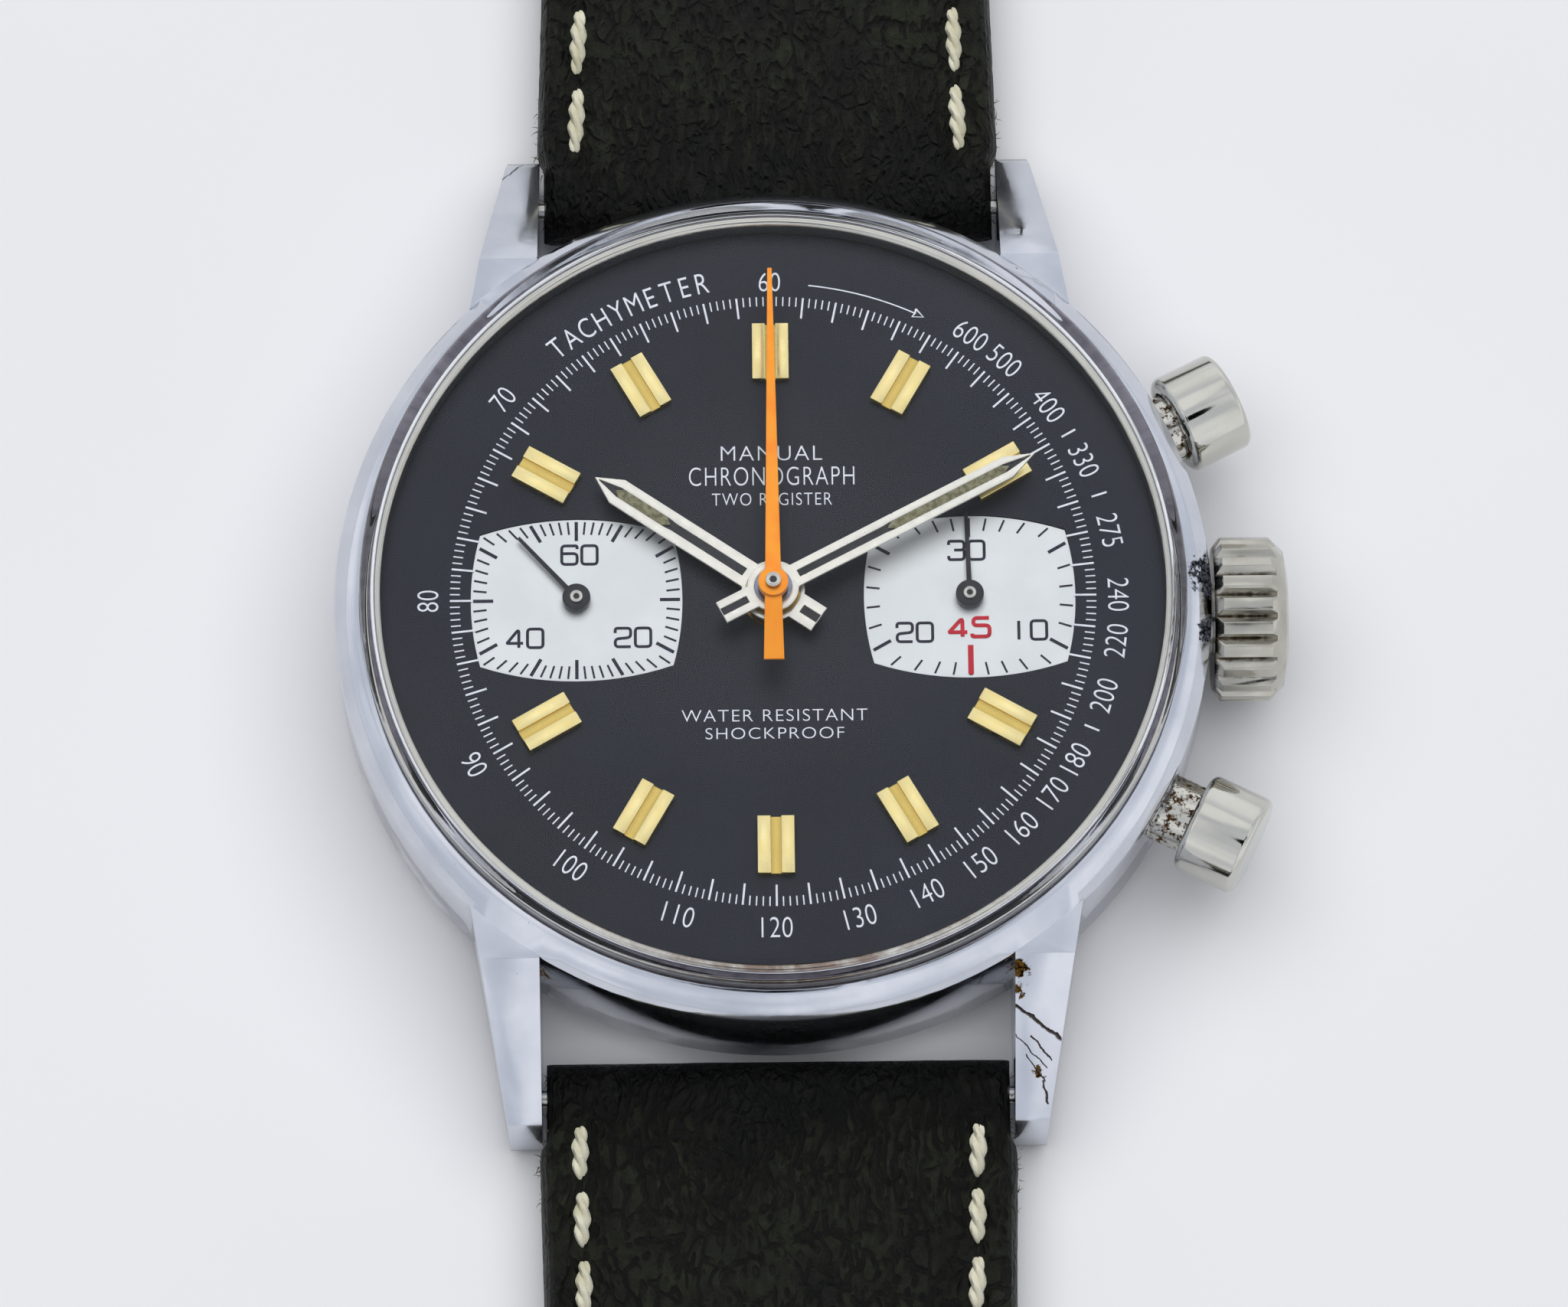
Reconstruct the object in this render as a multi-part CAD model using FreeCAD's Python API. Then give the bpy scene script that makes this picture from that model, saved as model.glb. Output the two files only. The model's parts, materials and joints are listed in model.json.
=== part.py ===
import FreeCAD, Part
import math
import os

# Hand-wound chronograph wristwatch, laid flat with its strap open.
# Millimetres. +Z runs up through the dial, +Y points to 12 o'clock, +X to 3 o'clock (the crown).
# The origin is the centre of the case back's outer face, the surface that the watch lies on.

V = FreeCAD.Vector
Z_AXIS = V(0, 0, 1)
X_AXIS = V(1, 0, 0)

# --- case ---
case_r = 18.8              # widest radius of the case band
case_taper = 0.8             # how far the band leans in to its foot
case_bottom_r = case_r - case_taper
case_bottom_z = 1.1
case_widest_z = 7.75
rim_r = 17.7               # bore that the crystal's foot stands in
rim_z = 8.6
rim_bevel = 0.25
movement_r = 15.5
movement_gap = 0.05
dial_r = 16.9
dial_top_z = 8.0
dial_thick = 0.4
dial_gap = 0.08
back_flat_r = 15.5
back_edge_step = 0.2
back_edge_r = case_bottom_r - back_edge_step
back_edge_z = 0.65
back_lip_r = 16.5
back_lip_inner_r = 15.75
back_lip_z = 2.1
back_gap = 0.02
gasket_r = (16.85, 17.35)
gasket_depth = 0.4

# --- lugs and spring bars ---
lug_gap = 20.1             # between the inner faces of a pair of lugs
lug_tip_width = 1.4
strap_thick = 3.0
strap_case_gap = 0.1
bar_y = case_r + strap_case_gap + strap_thick / 2
lug_past_bar = 1.95
lug_tip_y = bar_y + lug_past_bar
lug_tip_x = lug_gap / 2 + lug_tip_width
lug_root_angle = 43.39     # compass angle where a lug's outer edge meets the case band
lug_root_proud = 0.052
lug_slope_in = 2.9
lug_slope_y = case_r - lug_slope_in
lug_tip_top_z = 3.3
lug_tip_bottom_z = 0.6
bar_z = 1.9
bar_r = 0.75
bar_end_gap = 0.25         # from a bar's shoulder to the lug
pin_r = 0.4
pin_reach = 0.85           # how far a pin's tip enters the lug
pin_gap = 0.05

# --- crystal ---
crystal_foot_r = 17.65
crystal_wall = 0.45
crystal_shoulder_z = 9.6
crystal_apex_z = 12.4
crystal_thick = 1.2
outer_dome_r = 75.0
inner_dome_r = 90.0
tension_ring_r = 16.72
tension_ring_top_z = 9.0

# --- crown and stem ---
stem_z = 4.75
stem_r = 0.6
stem_gap = 0.05
crown_r = 3.53
crown_case_gap = 0.12
crown_start_x = case_r + crown_case_gap
crown_len = 3.2
crown_teeth = 21
crown_groove = 0.42
tube_r = 1.5
tube_gap = 0.1
crown_tube_reach = 1.28      # how far the tube stands in the crown
crown_tube_end_x = crown_start_x + crown_tube_reach

# --- pushers ---
pusher_angle = 27.0
pusher_cap_r = 2.2
pusher_cap_len = 2.8
pusher_rod_r = 0.45
pusher_gap = 0.05
top_cap_gap = 0.8          # from the case band to the cap's inner face
bottom_cap_gap = 1.3
pusher_tube_reach = 1.8
spring_seat_depth = 0.45   # how deep in the band the springs' shoulders are
top_cap_start = case_r + top_cap_gap
bottom_cap_start = case_r + bottom_cap_gap
pusher_tube_end = case_r + pusher_tube_reach
spring_seat = case_r - spring_seat_depth
pusher_rod_start = 14.85
spring_coil_r = 0.7
spring_wire_r = 0.1
spring_turns = 6

# --- dial furniture and hands ---
subdial_x = 8.4
subdial_half = (4.55, 3.69)     # to the middle of each bulged side
subdial_corner = (4.15, 3.0)
subdial_recess = 0.1
marker_inner_r = 9.9
marker_len = 2.55
marker_width = 1.57
marker_bar = 0.56
marker_height = 0.4
marker_strip_height = 0.22
hand_thick = 0.15
hour_hand_z = 8.85
minute_hand_z = 9.35
chrono_hand_z = 9.85
small_hand_z = 8.2
hour_hand_angle = 304.6
minute_hand_angle = 62.2
seconds_hand_angle = 318.0
hour_hand = dict(length=9.2, width=1.22, tail=2.35, hub=1.35, point=1.3)
minute_hand = dict(length=12.74, width=1.02, tail=2.5, hub=1.1, point=1.5)
chrono_hand = dict(length=14.5, tail=3.45, root=0.7, tip=0.19, tail_width=0.87, hub=0.64)
small_hand = dict(length=3.7, tail=1.0, width=0.25, hub=0.6)

# --- movement levels ---
plate_z = (5.6, 7.0)
bridge_z = (3.5, 3.85)
pivot_r = 0.12
pivot_gap = 0.03
jewel_r = 0.45
arbor_r = 0.28
chrono_arbor_r = 0.25
chrono_bore_r = 0.30
chrono_bridge_z = (1.4, 1.7)
lever_z = (1.8, 2.2)
chrono_wheel_z = (2.3, 2.5)

# --- gear train: teeth and places ---
center_wheel_teeth = 80
center_pinion_teeth = 12
third_wheel_teeth = 75
third_pinion_teeth = 10
fourth_wheel_teeth = 80
fourth_pinion_teeth = 10
escape_pinion_teeth = 8
escape_teeth = 15
barrel_teeth = 72
cannon_teeth = 12
minute_wheel_teeth = 36
minute_pinion_teeth = 10
hour_wheel_teeth = 40
ratchet_teeth = 52
crown_wheel_teeth = 40
winding_teeth = 13
center_module = 0.115
third_module = 0.10
fourth_module = 0.08
barrel_module = 0.1357
motion_distance = 3.6
ratchet_module = 5.9 * 2 / (ratchet_teeth + crown_wheel_teeth)


def polar(radius, degrees):
    """A point at a compass angle: 0 is +Y (12 o'clock), and angles grow clockwise."""
    a = math.radians(degrees)
    return (radius * math.sin(a), radius * math.cos(a))


def step(centre, distance, degrees):
    """A point at a distance from another, at an angle counted from +X."""
    a = math.radians(degrees)
    return (centre[0] + distance * math.cos(a), centre[1] + distance * math.sin(a))


center = (0.0, 0.0)
lug_root = polar(case_r + lug_root_proud, lug_root_angle)
fourth = (-subdial_x, 0.0)
counter = (subdial_x, 0.0)
third_reach = center_module * (center_wheel_teeth + third_pinion_teeth) / 2
fourth_reach = third_module * (third_wheel_teeth + fourth_pinion_teeth) / 2
third_x = -(subdial_x ** 2 + third_reach ** 2 - fourth_reach ** 2) / (2 * subdial_x)
third = (third_x, math.sqrt(third_reach ** 2 - third_x ** 2))
escape = step(fourth, fourth_module * (fourth_wheel_teeth + escape_pinion_teeth) / 2, -75)
escape_r = 2.2
lever_line = -54.0
pallet = step(escape, escape_r / math.cos(math.radians(30)), lever_line)
fork_reach = 3.15
balance = step(pallet, fork_reach, lever_line)
barrel_at = step(center, barrel_module * (barrel_teeth + center_pinion_teeth) / 2, 40)
crown_wheel_at = step(barrel_at, 5.9, -4)
minute_wheel_at = (0.0, motion_distance)
balance_r = 4.6
hammer_pivot = (13.6, 1.9)
operating_pivot = (8.5, 11.5)
cam_at = (0.5, 9.0)
clutch_at = step(fourth, 4.0, 49.5)


# --- shapes ---
def cyl(radius, z0, z1, at=(0, 0)):
    return Part.makeCylinder(radius, z1 - z0, V(at[0], at[1], z0), Z_AXIS)


def ring(outer, inner, z0, z1, at=(0, 0)):
    return cyl(outer, z0, z1, at).cut(cyl(inner, z0 - 1, z1 + 1, at))


def xcyl(radius, x0, x1, z=stem_z, y=0.0):
    return Part.makeCylinder(radius, x1 - x0, V(x0, y, z), X_AXIS)


def box(x0, x1, y0, y1, z0, z1):
    return Part.makeBox(x1 - x0, y1 - y0, z1 - z0, V(x0, y0, z0))


def fuse(shapes):
    shapes = list(shapes)
    return shapes[0].multiFuse(shapes[1:]).removeSplitter() if len(shapes) > 1 else shapes[0]


def prism(points, z0, z1):
    wire = Part.makePolygon([V(x, y, z0) for x, y in points] + [V(points[0][0], points[0][1], z0)])
    return Part.Face(wire).extrude(V(0, 0, z1 - z0))


def revolve(points):
    """A solid turned about the Z axis from (radius, z) points; a third item is an arc's middle point."""
    edges = []
    ends = points + [points[0]]
    for here, there in zip(ends[:-1], ends[1:]):
        a = V(here[0], 0, here[1])
        b = V(there[0], 0, there[1])
        if len(here) == 3:
            middle = V(here[2][0], 0, here[2][1])
            edges.append(Part.Arc(a, middle, b).toShape())
        else:
            edges.append(Part.LineSegment(a, b).toShape())
    return Part.Face(Part.Wire(edges)).revolve(V(0, 0, 0), Z_AXIS, 360)


def capsule(p, q, radius, z0, z1):
    """A flat bar with round ends."""
    along = V(q[0] - p[0], q[1] - p[1], 0)
    side = V(-along.y, along.x, 0).normalize() * radius
    corners = [(p[0] + side.x, p[1] + side.y), (p[0] - side.x, p[1] - side.y),
               (q[0] - side.x, q[1] - side.y), (q[0] + side.x, q[1] + side.y)]
    return fuse([prism(corners, z0, z1), cyl(radius, z0, z1, p), cyl(radius, z0, z1, q)])


def turned(shape, degrees, at=(0, 0)):
    """A copy turned clockwise, as seen from above the dial."""
    copy = shape.copy()
    copy.rotate(V(at[0], at[1], 0), Z_AXIS, -degrees)
    return copy


def moved(shape, x=0.0, y=0.0, z=0.0):
    copy = shape.copy()
    copy.translate(V(x, y, z))
    return copy


def gear(teeth, module, z0, z1, at, toward=0.0, gap=False):
    """A spur gear; a tooth, or with gap a space, points at the angle toward, counted from +X."""
    pitch = math.tau / teeth
    start = math.radians(toward) + (pitch / 2 if gap else 0)
    mean = module * teeth / 2
    tip = mean + 0.85 * module
    root = mean - 1.1 * module
    points = []
    for i in range(teeth):
        a = start + i * pitch
        for radius, share in ((root, -0.27), (tip, -0.11), (tip, 0.11), (root, 0.27)):
            points.append((at[0] + radius * math.cos(a + share * pitch),
                           at[1] + radius * math.sin(a + share * pitch)))
    return prism(points, z0, z1)


def bearing(p, q):
    """The angle from p to q, counted from +X."""
    return math.degrees(math.atan2(q[1] - p[1], q[0] - p[0]))


def arbor(at, z0, z1, thick=arbor_r):
    """A wheel's axle with a thin pivot at each end."""
    return fuse([cyl(thick, z0, z1, at), cyl(pivot_r, z0 - 0.35, z1 + 0.3, at)])


def spoked(teeth, module, z0, z1, at, toward, gap, hub):
    """A wheel with four spokes between its hub and its toothed rim."""
    wheel = gear(teeth, module, z0, z1, at, toward, gap)
    inner = module * teeth / 2 - 1.1 * module - 0.45
    window = ring(inner, hub, z0 - 1, z1 + 1, at)
    window = window.cut(box(at[0] - inner - 1, at[0] + inner + 1, at[1] - 0.2, at[1] + 0.2, z0 - 2, z1 + 2))
    window = window.cut(box(at[0] - 0.2, at[0] + 0.2, at[1] - inner - 1, at[1] + inner + 1, z0 - 2, z1 + 2))
    return wheel.cut(window)


parts = {}

# --- case ---
pusher_ends = {"top": 90 - pusher_angle, "bottom": 90 + pusher_angle}


def radial(radius, r0, r1, compass):
    """A cylinder that lies along a radius of the watch, at the stem's height."""
    out = polar(1.0, compass)
    return Part.makeCylinder(radius, r1 - r0, V(out[0] * r0, out[1] * r0, stem_z), V(out[0], out[1], 0))


def lug():
    """The lug at 12 o'clock on the crown's side."""
    inner_x = lug_gap / 2
    plan = [(inner_x, 12.0), (inner_x, lug_tip_y), (lug_tip_x, lug_tip_y), lug_root, (14.0, 9.0)]
    side = [(9.0, case_bottom_z), (9.0, case_widest_z), (lug_slope_y, case_widest_z),
            (lug_tip_y - 0.5, lug_tip_top_z + 0.25), (lug_tip_y, lug_tip_top_z - 0.5),
            (lug_tip_y, lug_tip_bottom_z + 0.2), (lug_tip_y - 0.6, lug_tip_bottom_z),
            (lug_tip_y - 3.5, lug_tip_bottom_z), (lug_slope_y - 0.4, case_bottom_z)]
    wire = Part.makePolygon([V(0, y, z) for y, z in side + side[:1]])
    profile = Part.Face(wire).extrude(V(case_r + 5, 0, 0))
    pin = xcyl(pin_r + pin_gap, 0, inner_x + pin_reach + 0.15, bar_z, bar_y)
    return prism(plan, 0, 9).common(profile).cut(pin)


def case_middle():
    bore_r = movement_r + movement_gap
    body = revolve([
        (back_lip_r + back_gap, case_bottom_z), (back_lip_r + back_gap, back_lip_z + 0.1),
        (bore_r, back_lip_z + 0.1), (bore_r, dial_top_z - dial_thick),
        (dial_r + dial_gap, dial_top_z - dial_thick), (dial_r + dial_gap, dial_top_z + 0.05),
        (rim_r, dial_top_z + 0.05), (rim_r, rim_z), (rim_r + rim_bevel, rim_z - 0.12),
        (case_r - 0.05, case_widest_z), (case_r, case_widest_z - 0.2), (case_r, 2.7),
        (case_bottom_r, case_bottom_z)])
    half = lug()
    lugs = [half, half.mirror(V(0, 0, 0), V(0, 1, 0)), half.mirror(V(0, 0, 0), X_AXIS)]
    lugs.append(lugs[1].mirror(V(0, 0, 0), X_AXIS))
    hollow = cyl(rim_r, -1, 10)
    body = fuse([body] + [each.cut(hollow) for each in lugs])
    body = body.cut(ring(gasket_r[1], gasket_r[0], case_bottom_z - 0.5, case_bottom_z + gasket_depth))
    body = body.cut(xcyl(tube_r, 12, case_r + 3))
    for compass in pusher_ends.values():
        body = body.cut(radial(tube_r, 12, case_r + 3, compass))
    return body


parts["case_middle"] = case_middle()
back = revolve([(0, 0), (back_flat_r, 0), (back_edge_r, back_edge_z), (back_edge_r, case_bottom_z - back_gap),
                (back_lip_r, case_bottom_z - back_gap), (back_lip_r, back_lip_z),
                (back_lip_inner_r, back_lip_z), (back_lip_inner_r, case_bottom_z), (0, case_bottom_z)])
parts["case_back"] = back.cut(box(-2.0, 2.0, -back_edge_r - 1, -back_edge_r + 0.7, -1, 0.8))
parts["case_back_gasket"] = ring(gasket_r[1] - 0.02, gasket_r[0] + 0.02, case_bottom_z,
                                 case_bottom_z + gasket_depth)


def dome_z(apex, sphere_r, radius):
    return apex - sphere_r + math.sqrt(sphere_r ** 2 - radius ** 2)


def crystal():
    inner_r = crystal_foot_r - crystal_wall
    foot_z = dial_top_z + 0.1
    edge_r = crystal_foot_r - 0.75
    inner_apex = crystal_apex_z - crystal_thick
    inner_edge_r = inner_r - 0.6
    outer_z = dome_z(crystal_apex_z, outer_dome_r, edge_r)
    inner_z = dome_z(inner_apex, inner_dome_r, inner_edge_r)
    half = edge_r / 2
    return revolve([
        (crystal_foot_r, foot_z),
        (crystal_foot_r, crystal_shoulder_z, (crystal_foot_r - 0.17, (crystal_shoulder_z + outer_z) / 2 + 0.14)),
        (edge_r, outer_z, (half, dome_z(crystal_apex_z, outer_dome_r, half))),
        (0, crystal_apex_z), (0, inner_apex, (half, dome_z(inner_apex, inner_dome_r, half))),
        (inner_edge_r, inner_z), (inner_r, tension_ring_top_z + 0.1), (inner_r, foot_z)])


parts["crystal"] = crystal()
ring_out = crystal_foot_r - crystal_wall - 0.02
parts["tension_ring"] = revolve([
    (tension_ring_r, dial_top_z + 0.07), (ring_out, dial_top_z + 0.07), (ring_out, tension_ring_top_z),
    (ring_out - 0.12, tension_ring_top_z + 0.04), (tension_ring_r, tension_ring_top_z - 0.35)])


# --- crown, stem and pushers ---
def crown():
    end_x = crown_start_x + crown_len
    body = Part.Face(Part.makePolygon([
        V(crown_start_x, 0, 0), V(crown_start_x, crown_r - 0.45, 0), V(crown_start_x + 0.35, crown_r, 0),
        V(end_x - 0.75, crown_r, 0), V(end_x - 0.15, crown_r - 0.6, 0), V(end_x, crown_r - 1.4, 0),
        V(end_x, 0, 0), V(crown_start_x, 0, 0)])).revolve(V(0, 0, 0), X_AXIS, 360)
    bore = xcyl(tube_r + tube_gap, crown_start_x - 1, crown_start_x + 1.98, 0)
    seat = xcyl(tube_r + 0.6, crown_start_x + 0.6, crown_start_x + 1.3, 0)
    body = body.cut(fuse([bore, seat, xcyl(stem_r + 0.02, crown_start_x, end_x - 0.6, 0)]))
    for i in range(crown_teeth):
        depth = crown_r - crown_groove
        groove = Part.Face(Part.makePolygon([
            V(0, 0, depth), V(0, 0.36, crown_r + 0.12), V(0, -0.36, crown_r + 0.12), V(0, 0, depth)]))
        groove = moved(groove.extrude(V(crown_len - 0.35, 0, 0)), crown_start_x - 0.2)
        groove.rotate(V(0, 0, 0), X_AXIS, 360.0 * i / crown_teeth)
        body = body.cut(groove)
    return moved(body, z=stem_z)


winding_x = (10.6, 11.6)
sliding_x = (9.5, 10.45)
parts["crown"] = crown()
parts["winding_stem"] = fuse([xcyl(stem_r, 9.0, crown_start_x + crown_len - 0.65)])
seat_x = crown_start_x + 0.6
parts["crown_gasket"] = xcyl(tube_r + 0.57, seat_x + 0.03, seat_x + 0.67).cut(xcyl(tube_r + 0.03, 15, case_r + 6))
crown_tube = xcyl(tube_r, 15.7, crown_tube_end_x)
parts["crown_tube"] = crown_tube.cut(xcyl(stem_r + stem_gap, 15, case_r + 6))


def pusher(start, compass):
    end = start + pusher_cap_len
    cap = radial(pusher_cap_r, start, end, compass)
    rims = [e for e in cap.Edges if isinstance(e.Curve, Part.Circle)]
    cap = cap.makeFillet(0.32, rims)
    cap = cap.cut(radial(tube_r + tube_gap, start - 1, end - 0.6, compass))
    return fuse([cap, radial(pusher_rod_r, pusher_rod_start, end - 0.3, compass)])


def pusher_spring(start, compass):
    """A coil round the rod, between the tube's shoulder and the cap's roof."""
    low = spring_seat
    height = start + pusher_cap_len - 0.6 - low - 0.25
    path = Part.makeHelix(height / spring_turns, height, spring_coil_r)
    profile = Part.Wire([Part.makeCircle(spring_wire_r, V(spring_coil_r, 0, 0), V(0, 1, 0))])
    coil = Part.Wire(path.Edges).makePipeShell([profile], True, True)
    coil.translate(V(0, 0, low + spring_wire_r))
    coil.rotate(V(0, 0, 0), X_AXIS, -90)
    coil.rotate(V(0, 0, 0), Z_AXIS, -compass)
    return moved(coil, z=stem_z)


cap_starts = {"top": top_cap_start, "bottom": bottom_cap_start}
tubes = []
for name, compass in pusher_ends.items():
    parts[name + "_pusher"] = pusher(cap_starts[name], compass)
    parts[name + "_pusher_spring"] = pusher_spring(cap_starts[name], compass)
    tube = radial(tube_r, 15.9, pusher_tube_end, compass)
    tube = tube.cut(radial(spring_coil_r + 0.2, spring_seat - 0.05, case_r + 10, compass))
    tubes.append(tube.cut(radial(pusher_rod_r + pusher_gap, 14, case_r + 10, compass)))
parts["pusher_tubes"] = Part.makeCompound(tubes)


# --- dial, markers and hands ---
def window(x, z0, z1):
    """The bulged four-sided outline of a sub-dial."""
    w, h = subdial_half
    cx, cy = subdial_corner
    arcs = [((cx, cy), (0, h), (-cx, cy)), ((-cx, cy), (-w, 0), (-cx, -cy)),
            ((-cx, -cy), (0, -h), (cx, -cy)), ((cx, -cy), (w, 0), (cx, cy))]
    edges = [Part.Arc(*(V(x + px, py, z0) for px, py in arc)).toShape() for arc in arcs]
    return Part.Face(Part.Wire(edges)).extrude(V(0, 0, z1 - z0))


feet = [(-11.5, 8.5), (11.5, -8.5)]
dial = cyl(dial_r, dial_top_z - dial_thick, dial_top_z).cut(cyl(1.3, 0, 10))
for x in (-subdial_x, subdial_x):
    dial = dial.cut(window(x, dial_top_z - subdial_recess, dial_top_z + 1))
    dial = dial.cut(cyl(0.35, 0, 10, (x, 0)))
parts["dial"] = fuse([dial] + [cyl(0.35, 6.2, dial_top_z - dial_thick, at) for at in feet])


def marker(compass):
    """Two bars with a lower strip between them."""
    half = marker_width / 2
    low = marker_inner_r
    high = low + marker_len
    bars = [box(-half, -half + marker_bar, low, high, dial_top_z, dial_top_z + marker_height),
            box(half - marker_bar, half, low, high, dial_top_z, dial_top_z + marker_height)]
    strip = box(-half + marker_bar - 0.01, half - marker_bar + 0.01, low, high,
                dial_top_z, dial_top_z + marker_strip_height)
    return turned(fuse(bars + [strip]), compass)


parts["hour_markers"] = Part.makeCompound([marker(30 * i) for i in range(12) if i not in (3, 9)])


def rail_hand(size, z, compass, bore_r):
    """A flat hand with a pointed tip, a round hub and a square tail."""
    half = size["width"] / 2
    tip = size["length"]
    blade = prism([(-half, -size["tail"]), (half, -size["tail"]), (half, tip - size["point"]),
                   (0, tip), (-half, tip - size["point"])], z, z + hand_thick)
    hub = cyl(size["hub"], z, z + hand_thick)
    hand = fuse([blade, hub]).cut(cyl(bore_r, z - 1, z + 1))
    return turned(hand, compass)


cannon_r = 0.80
hour_tube = (0.85, 1.15)
parts["hour_hand"] = rail_hand(hour_hand, hour_hand_z, hour_hand_angle, hour_tube[1])
parts["minute_hand"] = rail_hand(minute_hand, minute_hand_z, minute_hand_angle, cannon_r)


def chronograph_hand():
    """A tapered sweep hand whose outer part is set down to follow the dome."""
    z = chrono_hand_z
    bend_y = 9.0
    drop = 0.32
    size = chrono_hand

    def half_at(y):
        return (size["root"] + (size["tip"] - size["root"]) * y / size["length"]) / 2

    inner = prism([(-half_at(0), -0.3), (half_at(0), -0.3), (half_at(bend_y), bend_y),
                   (-half_at(bend_y), bend_y)], z, z + hand_thick)
    tail_half = size["tail_width"] / 2
    tail = prism([(-tail_half, -size["tail"]), (tail_half, -size["tail"]), (half_at(0), 0),
                  (-half_at(0), 0)], z, z + hand_thick)
    side = Part.makePolygon([V(-1, bend_y, z), V(-1, size["length"], z - drop),
                             V(-1, size["length"], z - drop + hand_thick), V(-1, bend_y, z + hand_thick),
                             V(-1, bend_y, z)])
    outer = prism([(-half_at(bend_y), bend_y), (half_at(bend_y), bend_y),
                   (half_at(size["length"]), size["length"]), (-half_at(size["length"]), size["length"])],
                  z - 1, z + 1).common(Part.Face(side).extrude(V(2, 0, 0)))
    boss = cyl(size["hub"], z - 0.1, z + 0.32)
    return fuse([inner, tail, outer, boss]).cut(cyl(chrono_arbor_r, z - 1, z + 2))


parts["chronograph_hand"] = chronograph_hand()


def small_seconds(at, compass, bore_r):
    half = small_hand["width"] / 2
    z = small_hand_z
    blade = prism([(-half, -small_hand["tail"]), (half, -small_hand["tail"]),
                   (half * 0.6, small_hand["length"]), (-half * 0.6, small_hand["length"])],
                  z, z + 0.1)
    hub = cyl(small_hand["hub"], z - 0.08, z + 0.22)
    hand = turned(fuse([blade, hub]).cut(cyl(bore_r, z - 1, z + 1)), compass)
    return moved(hand, at[0], at[1])


small_arbor_r = 0.2
parts["running_seconds_hand"] = small_seconds(fourth, seconds_hand_angle, small_arbor_r)
parts["minute_counter_hand"] = small_seconds(counter, -1.6, small_arbor_r)

# --- going train ---
bz0, bz1 = bridge_z
pz0, pz1 = plate_z
tube_bore = (0.6, chrono_bore_r)
pinion_top = 5.3
to_third = bearing(center, third)
to_barrel = bearing(center, barrel_at)

center_wheel = spoked(center_wheel_teeth, center_module, 5.2, 5.4, center, to_third, False, 1.1)
center_pinion = gear(center_pinion_teeth, barrel_module, 4.0, 5.2, center, to_barrel, True)
center_tube = cyl(tube_bore[0], 3.45, 9.3)
parts["center_wheel"] = fuse([center_wheel, center_pinion, center_tube]).cut(cyl(tube_bore[1], 0, 12))

cannon_module = motion_distance * 2 / (cannon_teeth + minute_wheel_teeth)
hour_module = motion_distance * 2 / (hour_wheel_teeth + minute_pinion_teeth)
cannon = fuse([cyl(cannon_r, 7.08, minute_hand_z + hand_thick),
               gear(cannon_teeth, cannon_module, 7.08, 7.25, center, 90)])
parts["cannon_pinion"] = cannon.cut(cyl(tube_bore[0] + 0.01, 0, 12))
minute_wheel = fuse([gear(minute_wheel_teeth, cannon_module, 7.1, 7.24, minute_wheel_at, -90, True),
                     gear(minute_pinion_teeth, hour_module, 7.24, 7.5, minute_wheel_at, -90)])
parts["minute_wheel"] = minute_wheel.cut(cyl(0.25, 0, 12, minute_wheel_at))
hour_wheel = fuse([gear(hour_wheel_teeth, hour_module, 7.32, 7.48, center, 90, True),
                   cyl(hour_tube[1], 7.32, hour_hand_z + hand_thick)])
parts["hour_wheel"] = hour_wheel.cut(cyl(hour_tube[0], 0, 12))

third_wheel = spoked(third_wheel_teeth, third_module, 4.0, 4.2, third, bearing(third, fourth), False, 0.8)
third_pinion = gear(third_pinion_teeth, center_module, 4.9, 5.5, third, bearing(third, center), True)
parts["third_wheel"] = fuse([third_wheel, third_pinion, arbor(third, 3.9, 5.55)])

driver_teeth = 40
driver_module = 0.1
to_clutch = bearing(fourth, clutch_at)
fourth_wheel = spoked(fourth_wheel_teeth, fourth_module, 5.0, 5.2, fourth, bearing(fourth, escape), False, 0.8)
fourth_pinion = gear(fourth_pinion_teeth, third_module, 3.95, 4.3, fourth, bearing(fourth, third), True)
driver = gear(driver_teeth, driver_module, *chrono_wheel_z, fourth, to_clutch)
parts["fourth_wheel"] = fuse([fourth_wheel, fourth_pinion, driver, cyl(arbor_r, 2.2, 5.5, fourth),
                              cyl(small_arbor_r, 5.4, small_hand_z + 0.25, fourth)])


def escape_wheel():
    """Fifteen raked teeth on a spoked rim, with the pinion below."""
    points = []
    pitch = math.tau / escape_teeth
    start = math.radians(lever_line) + pitch / 2
    for i in range(escape_teeth):
        a = start + i * pitch
        for radius, share in ((1.7, -0.2), (escape_r, 0.02), (escape_r, 0.1), (1.7, 0.12)):
            points.append((escape[0] + radius * math.cos(a + share * pitch),
                           escape[1] + radius * math.sin(a + share * pitch)))
    wheel = prism(points, 4.5, 4.65)
    slots = ring(1.4, 0.6, 4, 5, escape)
    slots = slots.cut(box(escape[0] - 3, escape[0] + 3, escape[1] - 0.15, escape[1] + 0.15, 3, 6))
    slots = slots.cut(box(escape[0] - 0.15, escape[0] + 0.15, escape[1] - 3, escape[1] + 3, 3, 6))
    pinion = gear(escape_pinion_teeth, fourth_module, 4.9, 5.3, escape, bearing(escape, fourth), True)
    return fuse([wheel.cut(slots), pinion, arbor(escape, 3.9, 5.55, 0.2)])


parts["escape_wheel"] = escape_wheel()


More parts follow.
